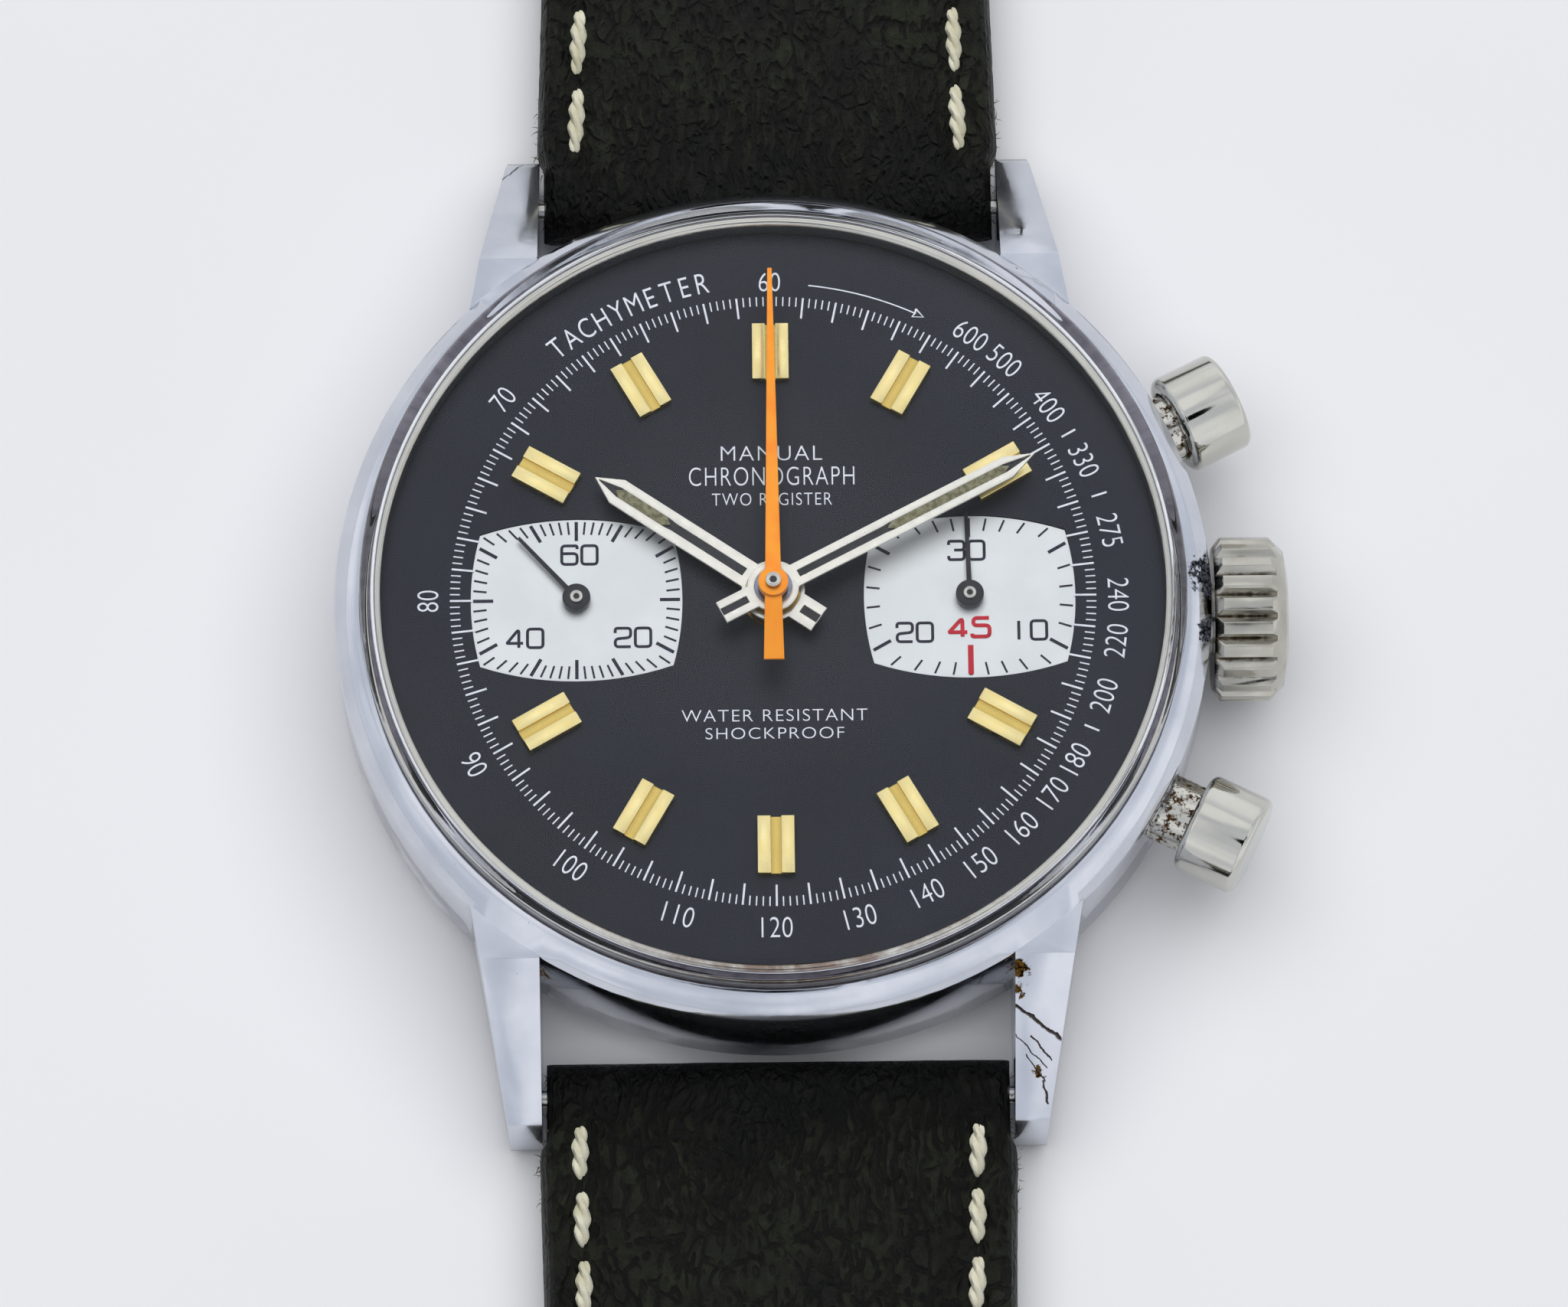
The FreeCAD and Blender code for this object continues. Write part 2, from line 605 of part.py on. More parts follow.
def pallet_fork():
    """The lever with its two pallet stones, a forked end and its arbor."""
    z0, z1 = 4.75, 4.95
    u = (math.cos(math.radians(lever_line)), math.sin(math.radians(lever_line)))
    side = (-u[1], u[0])

    def at(along, across):
        return (pallet[0] + u[0] * along + side[0] * across, pallet[1] + u[1] * along + side[1] * across)

    stem_bar = capsule(at(0, 0), at(fork_reach - 1.0, 0), 0.22, z0, z1)
    arms = [capsule(at(0, 0), at(-0.75, 1.25 * s), 0.22, z0, z1) for s in (-1, 1)]
    stones = [prism([at(-0.5, 1.1 * s), at(-0.5, 1.45 * s), at(-0.85, 1.45 * s), at(-0.85, 1.1 * s)], 4.4, z0)
              for s in (-1, 1)]
    horns = [prism([at(fork_reach - 1.05, 0.08 * s), at(fork_reach - 1.05, 0.5 * s),
                    at(fork_reach - 0.45, 0.62 * s), at(fork_reach - 0.45, 0.25 * s)], z0, z1) for s in (-1, 1)]
    return fuse([stem_bar] + arms + stones + horns + [arbor(pallet, 4.4, 5.55, 0.2)])


parts["pallet_fork"] = pallet_fork()


def balance_wheel():
    rim = ring(balance_r, balance_r - 0.5, 3.1, 3.6, balance)
    arm = box(balance[0] - balance_r + 0.2, balance[0] + balance_r - 0.2, balance[1] - 0.3, balance[1] + 0.3,
              3.2, 3.45)
    roller = cyl(0.85, 4.35, 4.6, balance)
    staff = fuse([cyl(0.22, 2.75, 5.5, balance), cyl(pivot_r, 2.0, 5.85, balance)])
    pin_at = step(balance, 0.6, lever_line + 180)
    weights = [cyl(0.3, 3.2, 3.5, step(balance, balance_r + 0.05, 45 * i + 22)) for i in range(8)]
    return fuse([rim, arm, roller, staff, cyl(0.1, 4.6, 4.7, pin_at)] + weights)


parts["balance_wheel"] = balance_wheel()


def spiral(at, r0, turns, pitch, width, z0, z1):
    """A flat spiral strip made of half circles."""
    wires = []
    for offset in (width / 2, -width / 2):
        edges = []
        for i in range(turns * 2):
            radius = r0 + i * pitch / 2
            shift = pitch / 4 if i % 2 else -pitch / 4
            middle = at[0] + shift
            sign = 1 if i % 2 == 0 else -1
            rr = radius + offset
            a = V(middle + sign * rr, at[1], z0)
            top = V(middle, at[1] + sign * rr, z0)
            b = V(middle - sign * rr, at[1], z0)
            edges.append(Part.Arc(a, top, b).toShape())
        wires.append(edges)
    outer, inner = wires
    ends = [Part.LineSegment(outer[-1].Vertexes[1].Point, inner[-1].Vertexes[1].Point).toShape(),
            Part.LineSegment(inner[0].Vertexes[0].Point, outer[0].Vertexes[0].Point).toShape()]
    wire = Part.Wire(Part.__sortEdges__(outer + inner + ends))
    return Part.Face(wire).extrude(V(0, 0, z1 - z0))


parts["hairspring"] = spiral(balance, 0.6, 7, 0.26, 0.05, 2.55, 2.7)

# --- barrel and winding ---
barrel = fuse([gear(barrel_teeth, barrel_module, 4.0, 4.3, barrel_at, to_barrel + 180),
               cyl(4.6, 4.0, 5.05, barrel_at)])
hub_r = 0.9
barrel = barrel.cut(fuse([cyl(4.3, 4.15, 4.9, barrel_at), cyl(hub_r + 0.05, 3, 6, barrel_at)]))
parts["barrel"] = barrel
parts["mainspring"] = spiral(barrel_at, 2.2, 8, 0.24, 0.12, 4.2, 4.85)
ratchet_distance = math.dist(barrel_at, crown_wheel_at)
to_crown_wheel = bearing(barrel_at, crown_wheel_at)
ratchet = gear(ratchet_teeth, ratchet_module, 3.1, 3.4, barrel_at, to_crown_wheel)
parts["ratchet_wheel"] = fuse([ratchet, cyl(hub_r, 3.4, 5.15, barrel_at), cyl(pivot_r * 3, 5.1, 5.9, barrel_at)])
crown_wheel = gear(crown_wheel_teeth, ratchet_module, 3.1, 3.4, crown_wheel_at, to_crown_wheel + 180, True)
parts["crown_wheel"] = crown_wheel.cut(cyl(0.7, 3, 4, crown_wheel_at))


def stem_gear(x0, x1):
    """A pinion round the stem."""
    wheel = gear(winding_teeth, 0.17, 0, x1 - x0, (0, 0))
    wheel.rotate(V(0, 0, 0), V(0, 1, 0), 90)
    return moved(wheel, x0, 0, stem_z).cut(xcyl(stem_r + stem_gap, 5, 20))


parts["winding_pinion"] = stem_gear(*winding_x)
parts["sliding_pinion"] = stem_gear(*sliding_x)


# --- chronograph work ---
def heart(at, z0, z1):
    """A heart cam: two arcs that meet at a low point under the centre."""
    lobes = [cyl(0.62, z0, z1, (at[0] + 0.22 * s, at[1] + 0.28)) for s in (-1, 1)]
    return fuse(lobes + [cyl(0.42, z0, z1, at)])


runner_teeth = 86
runner_module = 0.1
runner = spoked(runner_teeth, runner_module, *chrono_wheel_z, center, 90, False, 0.9)
parts["chronograph_runner"] = fuse([
    runner, heart(center, lever_z[0] + 0.05, chrono_wheel_z[0]),
    cyl(chrono_arbor_r - 0.01, lever_z[0], chrono_hand_z + 0.5),
    cyl(pivot_r, chrono_bridge_z[0] + 0.05, lever_z[0])])
counter_teeth = 60
counter_wheel = spoked(counter_teeth, runner_module, *chrono_wheel_z, counter, 90, False, 0.9)
parts["minute_counter_wheel"] = fuse([
    counter_wheel, heart(counter, lever_z[0] + 0.05, chrono_wheel_z[0]),
    cyl(small_arbor_r, lever_z[0], small_hand_z + 0.25, counter),
    cyl(pivot_r, chrono_bridge_z[0] + 0.05, lever_z[0], counter)])

clutch_wheel = gear(driver_teeth, driver_module, *chrono_wheel_z, clutch_at, to_clutch + 180, True)
parts["clutch_wheel"] = clutch_wheel.cut(cyl(0.25, 0, 5, clutch_at))
clutch_z = (1.8, 2.05)
clutch = fuse([capsule(fourth, clutch_at, 0.7, *clutch_z), cyl(0.2, clutch_z[1], chrono_wheel_z[1] + 0.1, clutch_at),
               capsule(clutch_at, step(clutch_at, 3.0, 80), 0.45, *clutch_z)])
parts["clutch_lever"] = clutch.cut(cyl(0.4, 0, 2.1, fourth))

stud_r = 0.35
stud_gap = 0.04
tab_r = 14.45
hammer_tab = polar(tab_r, pusher_ends["bottom"])
lever_tab = polar(tab_r, pusher_ends["top"])
hammer = fuse([
    capsule(hammer_pivot, (13.0, -4.2), 0.6, *lever_z), capsule((13.0, -4.2), hammer_tab, 0.45, *lever_z),
    capsule((13.0, -4.2), (0.0, -4.3), 0.45, *lever_z), box(-0.8, 0.8, -4.3, -3.1, *lever_z),
    box(7.6, 9.2, -4.2, -2.0, *lever_z), cyl(0.3, lever_z[0], stem_z + 0.5, hammer_tab)])
parts["reset_hammer"] = hammer.cut(cyl(stud_r + stud_gap, 0, 5, hammer_pivot))
operating = fuse([
    capsule(operating_pivot, lever_tab, 0.5, *lever_z), capsule(operating_pivot, (3.0, 9.5), 0.4, *lever_z),
    cyl(0.3, lever_z[0], stem_z + 0.5, lever_tab)])
parts["operating_lever"] = operating.cut(cyl(stud_r + stud_gap, 0, 5, operating_pivot))
cam = gear(12, 0.26, *lever_z, cam_at, 20)
parts["switching_cam"] = cam.cut(cyl(stud_r + stud_gap, 0, 5, cam_at))

# --- plate, bridges, jewels and screws ---
zone = cyl(movement_r - 0.5, 0, 8)
balance_room = cyl(balance_r + 0.5, 0, 8, balance)
bridge_feet = [(-13.0, 5.2), (-2.0, 11.0), (-13.6, -4.2)]
barrel_feet = [(-1.0, 12.6), (11.9, 8.2), (12.9, -3.4)]
chrono_feet = [(-11.9, 7.2), (10.2, -7.0), (2.6, 13.4)]
cock_foot = (3.6, -12.6)
fork_foot = (-9.9, -9.0)


def drilled(shape, at, z0, z1, radius):
    return shape.cut(cyl(radius, z0 - 0.5, z1 + 0.5, at))


plate = cyl(movement_r, *plate_z).cut(cyl(0.68, 0, 10))
for at in (fourth, counter):
    plate = drilled(plate, at, pz0, pz1, small_arbor_r + pivot_gap)
for at in feet:
    plate = drilled(plate, at, pz0, pz1, 0.4)
for at in (third, escape, pallet, balance):
    plate = plate.cut(cyl(jewel_r, 0, pz0 + 0.4, at))
plate = plate.cut(cyl(pivot_r * 3 + pivot_gap, 0, pz0 + 0.4, barrel_at))
plate = plate.cut(box(8.7, 14.6, -1.6, 1.6, 3.0, pz0 + 0.6))
plate = fuse([plate, cyl(0.22, pz1, 7.5, minute_wheel_at)])
parts["mainplate"] = plate

train_outline = [(1.2, -2.2), (-2.6, -2.6), (-6.0, -2.6), (-9.5, -6.4), (-15.5, -5.6), (-15.5, 8.5), (-3.5, 14.5),
                 (-1.9, 9.0), (-0.9, 1.2), (1.2, 0.9)]
train_bridge = prism(train_outline, bz0, bz1).common(zone).cut(balance_room)
posts = [cyl(0.9, bz1, pz0, at) for at in bridge_feet]
train_bridge = fuse([train_bridge] + posts)
for at in (third, escape):
    train_bridge = drilled(train_bridge, at, bz0, bz1, jewel_r)
train_bridge = drilled(train_bridge, fourth, bz0, bz1, arbor_r + pivot_gap)
train_bridge = drilled(train_bridge, center, bz0, bz1, tube_bore[0] + pivot_gap)
parts["train_bridge"] = train_bridge

barrel_outline = [(-0.6, 1.7), (1.5, 1.2), (1.9, -2.4), (15.5, -5.2), (15.5, 9.5), (4.0, 15.5), (-2.6, 14.9)]
barrel_bridge = prism(barrel_outline, bz0, bz1).common(zone)
barrel_bridge = barrel_bridge.cut(box(8.8, 12.0, -1.5, 1.5, 3, 5))
studs = [cyl(stud_r, lever_z[0] - 0.1, bz0, at) for at in (hammer_pivot, operating_pivot, cam_at)]
studs.append(cyl(0.65, 3.05, bz0, crown_wheel_at))
barrel_bridge = fuse([barrel_bridge] + studs + [cyl(0.9, bz1, pz0, at) for at in barrel_feet])
barrel_bridge = drilled(barrel_bridge, barrel_at, bz0, bz1, hub_r + pivot_gap)
barrel_bridge = drilled(barrel_bridge, counter, bz0, bz1, small_arbor_r + pivot_gap)
for compass in pusher_ends.values():
    barrel_bridge = barrel_bridge.cut(capsule(polar(tab_r - 2.2, compass), polar(tab_r + 2, compass), 0.75, 2, 5))
parts["barrel_bridge"] = barrel_bridge

cock = fuse([capsule(cock_foot, balance, 1.1, 1.75, 2.35), cyl(1.0, 2.35, pz0, cock_foot)])
parts["balance_cock"] = drilled(cock, balance, 1.75, 2.35, jewel_r)
fork_bridge = fuse([capsule(fork_foot, pallet, 0.65, 3.98, 4.22), cyl(0.65, 4.2, pz0, fork_foot)])
parts["pallet_bridge"] = drilled(fork_bridge, pallet, 3.98, 4.22, jewel_r)

cz0, cz1 = chrono_bridge_z
arms = [capsule(center, fourth, 0.9, cz0, cz1), capsule(center, counter, 0.9, cz0, cz1)]
arms += [capsule(fourth, chrono_feet[0], 0.8, cz0, cz1), capsule(counter, chrono_feet[1], 0.8, cz0, cz1),
         capsule(center, chrono_feet[2], 0.8, cz0, cz1)]
posts = [cyl(0.55, cz1, bz0, chrono_feet[0]), cyl(0.55, cz1, pz0, chrono_feet[1]), cyl(0.55, cz1, bz0, chrono_feet[2])]
chrono_bridge = fuse(arms + posts + [cyl(stud_r, cz1, clutch_z[1] + 0.05, fourth)])
for at in (center, counter):
    chrono_bridge = drilled(chrono_bridge, at, cz0, cz1, jewel_r)
parts["chronograph_bridge"] = chrono_bridge


def jewel(at, z0, z1):
    return ring(jewel_r, pivot_r + pivot_gap, z0, z1, at)


jewels = [jewel(at, pz0 + 0.05, pz0 + 0.35) for at in (third, escape, pallet, balance)]
jewels += [jewel(at, bz0, bz1 - 0.02) for at in (third, escape)]
jewels += [jewel(pallet, 3.98, 4.22), jewel(balance, 1.8, 2.2)]
jewels += [jewel(at, cz0 + 0.02, cz1 - 0.02) for at in (center, counter)]
parts["jewels"] = Part.makeCompound(jewels)


def screw(at, z):
    """A cheese-head screw driven from the case back's side."""
    head = fuse([cyl(0.7, z - 0.35, z, at), cyl(0.3, z - 0.05, z + 0.9, at)])
    slot = box(at[0] - 0.8, at[0] + 0.8, at[1] - 0.09, at[1] + 0.09, z - 0.5, z - 0.2)
    return head.cut(slot)


screw_places = [(at, bz0) for at in bridge_feet + barrel_feet] + [(cock_foot, 1.75), (fork_foot, 3.98)]
parts["bridge_screws"] = Part.makeCompound([screw(at, z) for at, z in screw_places])
for at, z in screw_places:
    for name in ("train_bridge", "barrel_bridge", "balance_cock", "pallet_bridge"):
        parts[name] = parts[name].cut(cyl(0.32, z - 0.3, z + 1.0, at))

# --- strap ---
strap_end_thick = 2.2
strap_lift = 0.95          # height of the thin end's underside, over the keepers
strap_lug_gap = 0.2
strap_flare = 0.5
lug_strap_w = lug_gap - strap_lug_gap
strap_w = lug_strap_w + strap_flare       # beyond the lug tips
buckle_w = 18.0
tail_w = 16.0
shoulder_y = lug_tip_y + 0.35
buckle_side_len = 73.0     # from spring bar to spring bar
hole_side_len = 115.0      # from the spring bar to the tip
thin_from = 40.0           # where the padding has thinned out
bar_hole_gap = 0.07
keeper_width = 5.0
keeper_wall = 0.8
keeper_side_gap = 0.3
tail_thick = 2.4
buckle_bar_y = bar_y + buckle_side_len
buckle_bar_z = strap_lift + strap_end_thick / 2
fixed_keeper_y = buckle_bar_y - 10.5
free_keeper_y = buckle_bar_y - 22.0
hole_r = 1.0
hole_count = 7
hole_pitch = 6.5
first_hole = 68.0          # from the spring bar


def strap_side(length, square_end):
    """The strap's side view, extruded across, with a round end over the spring bar."""
    z_low = bar_z - strap_thick / 2
    start = bar_y
    end = bar_y + length
    r = strap_thick / 2
    a, b = V(-12, start, bar_z + r), V(-12, start, bar_z - r)
    edges = [Part.Arc(a, V(-12, start - r, bar_z), b).toShape()]
    low = [b, V(-12, start + 8, z_low), V(-12, start + thin_from, strap_lift), V(-12, end, strap_lift)]
    high = [V(-12, end, strap_lift + strap_end_thick),
            V(-12, start + thin_from, strap_lift + strap_end_thick), V(-12, start + 8, bar_z + r), a]
    for run in (low, high):
        edges += [Part.LineSegment(p, q).toShape() for p, q in zip(run[:-1], run[1:])]
    if square_end:
        edges.append(Part.LineSegment(low[-1], high[0]).toShape())
    else:
        edges.append(Part.Arc(low[-1], V(-12, end + strap_end_thick / 2, strap_lift + strap_end_thick / 2),
                              high[0]).toShape())
    return Part.Face(Part.Wire(Part.__sortEdges__(edges))).extrude(V(24, 0, 0))


def strap_plan(length, end_w, pointed):
    lug_w, wide = lug_strap_w / 2, strap_w / 2
    end = bar_y + length
    side = [(lug_w, bar_y - 5.4), (lug_w, shoulder_y), (wide, shoulder_y + 0.25), (end_w / 2, end - 22.0)]
    if pointed:
        side += [(end_w / 2, end - 9.0), (end_w / 2 - 2.2, end - 3.0), (1.6, end)]
    else:
        side += [(end_w / 2, end + 3.0)]
    return prism(side + [(-x, y) for x, y in reversed(side)], -1, 6)


bar_hole = xcyl(bar_r + bar_hole_gap, -14, 14, bar_z, bar_y)
buckle_hole = xcyl(bar_r + bar_hole_gap, -14, 14, buckle_bar_z, buckle_bar_y)
short = strap_side(buckle_side_len, False).common(strap_plan(buckle_side_len, buckle_w - 0.2, False))
short = short.cut(fuse([bar_hole, buckle_hole]))
tang_slot = 1.6
parts["strap_buckle_side"] = short.cut(box(-tang_slot, tang_slot, buckle_bar_y - 4.0, buckle_bar_y + 4, -1, 6))
long_half = strap_side(hole_side_len, True).common(strap_plan(hole_side_len, tail_w, True)).cut(bar_hole)
for i in range(hole_count):
    long_half = long_half.cut(cyl(hole_r, -1, 6, (0, bar_y + first_hole + i * hole_pitch)))
parts["strap_hole_side"] = long_half.mirror(V(0, 0, 0), V(0, 1, 0))


def keeper(y):
    """A closed leather loop round the strap, with room above for the other half's tail."""
    half = buckle_w / 2 + keeper_side_gap
    inner_low = strap_lift - 0.05
    inner_high = strap_lift + strap_end_thick + tail_thick
    loop = box(-half - keeper_wall, half + keeper_wall, y, y + keeper_width, inner_low - keeper_wall,
               inner_high + keeper_wall)
    edges = [e for e in loop.Edges if abs(e.Length - keeper_width) < 1e-6]
    loop = loop.makeFillet(0.7, edges)
    return loop.cut(box(-half, half, y - 1, y + keeper_width + 1, inner_low, inner_high))


parts["fixed_keeper"] = keeper(fixed_keeper_y)
parts["free_keeper"] = keeper(free_keeper_y)

# --- buckle ---
frame_r = 1.0
frame_reach = 8.6          # from the bar to the front rail
frame_half = buckle_w / 2 + 0.5 + frame_r


def buckle_frame():
    y0, y1 = buckle_bar_y, buckle_bar_y + frame_reach
    z = buckle_bar_z
    sides = [Part.makeCylinder(frame_r, frame_reach, V(s * frame_half, y0, z), V(0, 1, 0)) for s in (-1, 1)]
    front = xcyl(frame_r, -frame_half, frame_half, z, y1)
    joints = [Part.makeSphere(frame_r, V(s * frame_half, y, z)) for s in (-1, 1) for y in (y0, y1)]
    ears = [xcyl(frame_r + 0.15, s * frame_half - 0.9, s * frame_half + 0.9, z, y0) for s in (-1, 1)]
    frame = fuse(sides + [front] + joints + ears)
    hole = xcyl(pin_r + pin_gap, -frame_half - 0.2, frame_half + 0.2, z, y0)
    return frame.cut(hole)


parts["buckle_frame"] = buckle_frame()
tang_loop_r = bar_r + 0.8
tang_half = 1.1
tang_bar = Part.makeCylinder(0.7, frame_reach + 0.6, V(0, buckle_bar_y, buckle_bar_z + frame_r + 0.75), V(0, 1, 0))
tang_loop = xcyl(tang_loop_r, -tang_half, tang_half, buckle_bar_z, buckle_bar_y)
tang_tip = Part.makeSphere(0.7, V(0, buckle_bar_y + frame_reach + 0.6, buckle_bar_z + frame_r + 0.75))
tang = fuse([tang_loop, tang_bar, tang_tip])
parts["buckle_tang"] = tang.cut(xcyl(bar_r + bar_hole_gap, -3, 3, buckle_bar_z, buckle_bar_y))


def spring_bar(half_gap, y, z):
    """A spring bar: a tube with a thin sprung pin at each end."""
    tube = xcyl(bar_r, -half_gap + bar_end_gap, half_gap - bar_end_gap, z, y)
    pins = xcyl(pin_r, -half_gap - pin_reach, half_gap + pin_reach, z, y)
    return fuse([tube, pins])


parts["lug_spring_bars"] = Part.makeCompound([spring_bar(lug_gap / 2, s * bar_y, bar_z) for s in (-1, 1)])
parts["buckle_spring_bar"] = spring_bar(frame_half - frame_r, buckle_bar_y, buckle_bar_z)

# --- writing ---
os.makedirs("parts", exist_ok=True)
for name, shape in parts.items():
    shape.exportStep("parts/" + name + ".step")
    print(name, len(shape.Solids), round(shape.Volume, 2), shape.isValid())
print(len(parts), "nodes")
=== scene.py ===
import json
import math

import bmesh
import bpy
from mathutils import Euler, Matrix, Vector, noise


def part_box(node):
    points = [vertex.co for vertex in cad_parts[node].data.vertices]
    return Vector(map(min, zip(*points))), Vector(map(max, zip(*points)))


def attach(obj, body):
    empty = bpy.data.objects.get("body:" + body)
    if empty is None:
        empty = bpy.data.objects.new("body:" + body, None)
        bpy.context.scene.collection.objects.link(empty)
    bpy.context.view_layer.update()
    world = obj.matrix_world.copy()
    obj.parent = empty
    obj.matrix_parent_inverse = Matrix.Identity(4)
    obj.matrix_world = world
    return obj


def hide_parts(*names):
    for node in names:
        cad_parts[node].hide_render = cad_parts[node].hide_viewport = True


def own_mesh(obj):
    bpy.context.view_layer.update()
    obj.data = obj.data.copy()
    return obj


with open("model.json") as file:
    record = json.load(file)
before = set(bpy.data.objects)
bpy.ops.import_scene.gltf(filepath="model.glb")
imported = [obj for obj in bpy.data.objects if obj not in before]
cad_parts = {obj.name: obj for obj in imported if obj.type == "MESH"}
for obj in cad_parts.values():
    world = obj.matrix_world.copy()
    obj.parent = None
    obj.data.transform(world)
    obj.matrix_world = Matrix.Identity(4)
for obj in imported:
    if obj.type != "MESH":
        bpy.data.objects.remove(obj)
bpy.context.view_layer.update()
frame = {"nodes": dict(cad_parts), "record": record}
nodes = frame["nodes"]
scene = bpy.context.scene
mm = 0.001
perMm = 1000.0      # a texture scale of perMm / 3 gives features about 3 mm apart
print("frame loaded:", len(nodes), "nodes")


def linearColour(code):
    # sRGB hex to the linear colour that the shader wants
    values = [int(code[i:i + 2], 16) / 255 for i in (1, 3, 5)]
    return (*[c / 12.92 if c <= 0.04045 else ((c + 0.055) / 1.055) ** 2.4 for c in values], 1.0)


def feed(node, sockets):
    # sockets by name or in their order; a node stands for its first live output, a text for a colour
    for key, value in enumerate(sockets) if isinstance(sockets, list) else sockets.items():
        if isinstance(value, bpy.types.Node):
            value = next(socket for socket in value.outputs if socket.enabled)
        if isinstance(value, bpy.types.NodeSocket):
            node.id_data.links.new(value, node.inputs[key])
        else:
            node.inputs[key].default_value = linearColour(value) if isinstance(value, str) else value


def addNode(tree, kind, sockets=None, **settings):
    # shader nodes go without their prefix, and every mix here is of colours
    node = tree.nodes.new(kind if "Node" in kind else "ShaderNode" + kind)
    if kind == "Mix":
        node.data_type = "RGBA"
    for key, value in settings.items():
        setattr(node, key, value)
    feed(node, sockets or {})
    return node


def polar(radius, compass):
    # compass degrees run clockwise from 12 o'clock
    angle = math.radians(compass)
    return radius * math.sin(angle), radius * math.cos(angle)


def pieceFromMesh(name, mesh, material, body, smoothAngle=30):
    piece = bpy.data.objects.new(name, mesh)
    scene.collection.objects.link(piece)
    if material:
        mesh.materials.clear()
        mesh.materials.append(material)
    mesh.shade_smooth()
    mesh.set_sharp_from_angle(angle=math.radians(smoothAngle))
    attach(piece, body)
    return piece


def evaluated(obj):
    # the object's mesh with its modifiers applied, and the object taken away
    bpy.context.view_layer.update()
    graph = bpy.context.evaluated_depsgraph_get()
    mesh = bpy.data.meshes.new_from_object(obj.evaluated_get(graph))
    bpy.data.objects.remove(obj)
    return mesh


def looseObject(name, data):
    obj = bpy.data.objects.new(name, data)
    scene.collection.objects.link(obj)
    return obj


def merged(mesh, distance):
    # a working mesh with the points that lie closer than distance, in mm, made one
    bm = bmesh.new()
    bm.from_mesh(mesh)
    bmesh.ops.remove_doubles(bm, verts=bm.verts, dist=distance * mm)
    return bm


def written(bm, mesh, outwards=True):
    # the working mesh put into mesh, with its faces turned outwards
    if outwards:
        bmesh.ops.recalc_face_normals(bm, faces=bm.faces)
    bm.to_mesh(mesh)
    bm.free()
    return mesh


def skin(bm, rings):
    # a tube through rings of points in mm, closed at both ends
    rings = [[bm.verts.new(point * mm) for point in ring] for ring in rings]
    for low, high in zip(rings, rings[1:]):
        for k in range(len(low)):
            after = (k + 1) % len(low)
            bm.faces.new((low[k], low[after], high[after], high[k]))
    bm.faces.new(rings[0])
    bm.faces.new(reversed(rings[-1]))


def addLine(curve, points, closed=False):
    # straight runs through points in mm
    spline = curve.splines.new("POLY")
    spline.points.add(len(points) - 1)
    spline.use_cyclic_u = closed
    for point, (x, y, z) in zip(spline.points, points):
        point.co = (x * mm, y * mm, z * mm, 1)


def cutPlate(loops, low, high, bevel=0.0):
    # flat sheet metal: the first loop is the outline, the others are holes, all in mm
    curve = bpy.data.curves.new("plate", "CURVE")
    curve.dimensions = "2D"
    curve.fill_mode = "BOTH"
    curve.extrude = ((high - low) / 2 - bevel) * mm
    curve.bevel_depth = bevel * mm
    curve.bevel_resolution = 1
    curve.offset = -bevel * mm
    for loop in loops:
        addLine(curve, [(x, y, 0) for x, y in loop], closed=True)
    mesh = evaluated(looseObject("plate", curve))
    mesh.transform(Matrix.Translation((0, 0, (low + high) / 2 * mm)))
    return written(merged(mesh, 0.0005), mesh)


# x and radius in mm of the hubs of the two small hands, which end at the hub
stubHands = {"running_seconds_hand": (-8.4, 0.58), "minute_counter_hand": (8.4, 0.58)}


def trimTail(bm, x, radius):
    hub = Vector((x * mm, 0, 0))
    tip = max(bm.verts, key=lambda v: (v.co.xy - hub.xy).length).co
    way = Vector((tip.x - hub.x, tip.y - hub.y, 0)).normalized()
    bmesh.ops.bisect_plane(bm, geom=list(bm.verts) + list(bm.edges) + list(bm.faces), dist=1e-7,
            plane_co=hub - way * radius * mm, plane_no=-way, clear_outer=True)
    bmesh.ops.holes_fill(bm, edges=[edge for edge in bm.edges if edge.is_boundary])
    bmesh.ops.recalc_face_normals(bm, faces=bm.faces)


def softenedCopy(node, width, segments=2, angle=35):
    # the CAD shape with its loose triangles merged and its edges broken
    mesh = nodes[node].data.copy()
    bm = merged(mesh, 0.001)
    bmesh.ops.dissolve_limit(bm, angle_limit=math.radians(0.5), verts=bm.verts, edges=bm.edges)
    if node in stubHands:
        trimTail(bm, *stubHands[node])
    obj = looseObject(node + "_soft", written(bm, mesh, outwards=False))
    bevel = obj.modifiers.new("edges", "BEVEL")
    bevel.width = width * mm
    bevel.segments = segments
    bevel.limit_method = "ANGLE"
    bevel.angle_limit = math.radians(angle)
    bevel.harden_normals = False
    return evaluated(obj)


def principled(name, colour, roughness, metallic=0.0, **sockets):
    material = bpy.data.materials.new(name)
    material.use_nodes = True
    shader = material.node_tree.nodes["Principled BSDF"]
    shader.inputs["Base Color"].default_value = linearColour(colour)
    shader.inputs["Roughness"].default_value = roughness
    shader.inputs["Metallic"].default_value = metallic
    for key, value in sockets.items():
        shader.inputs[key.replace("_", " ")].default_value = value
    place = addNode(material.node_tree, "TexCoord").outputs["Object"]
    return material, material.node_tree, shader, place


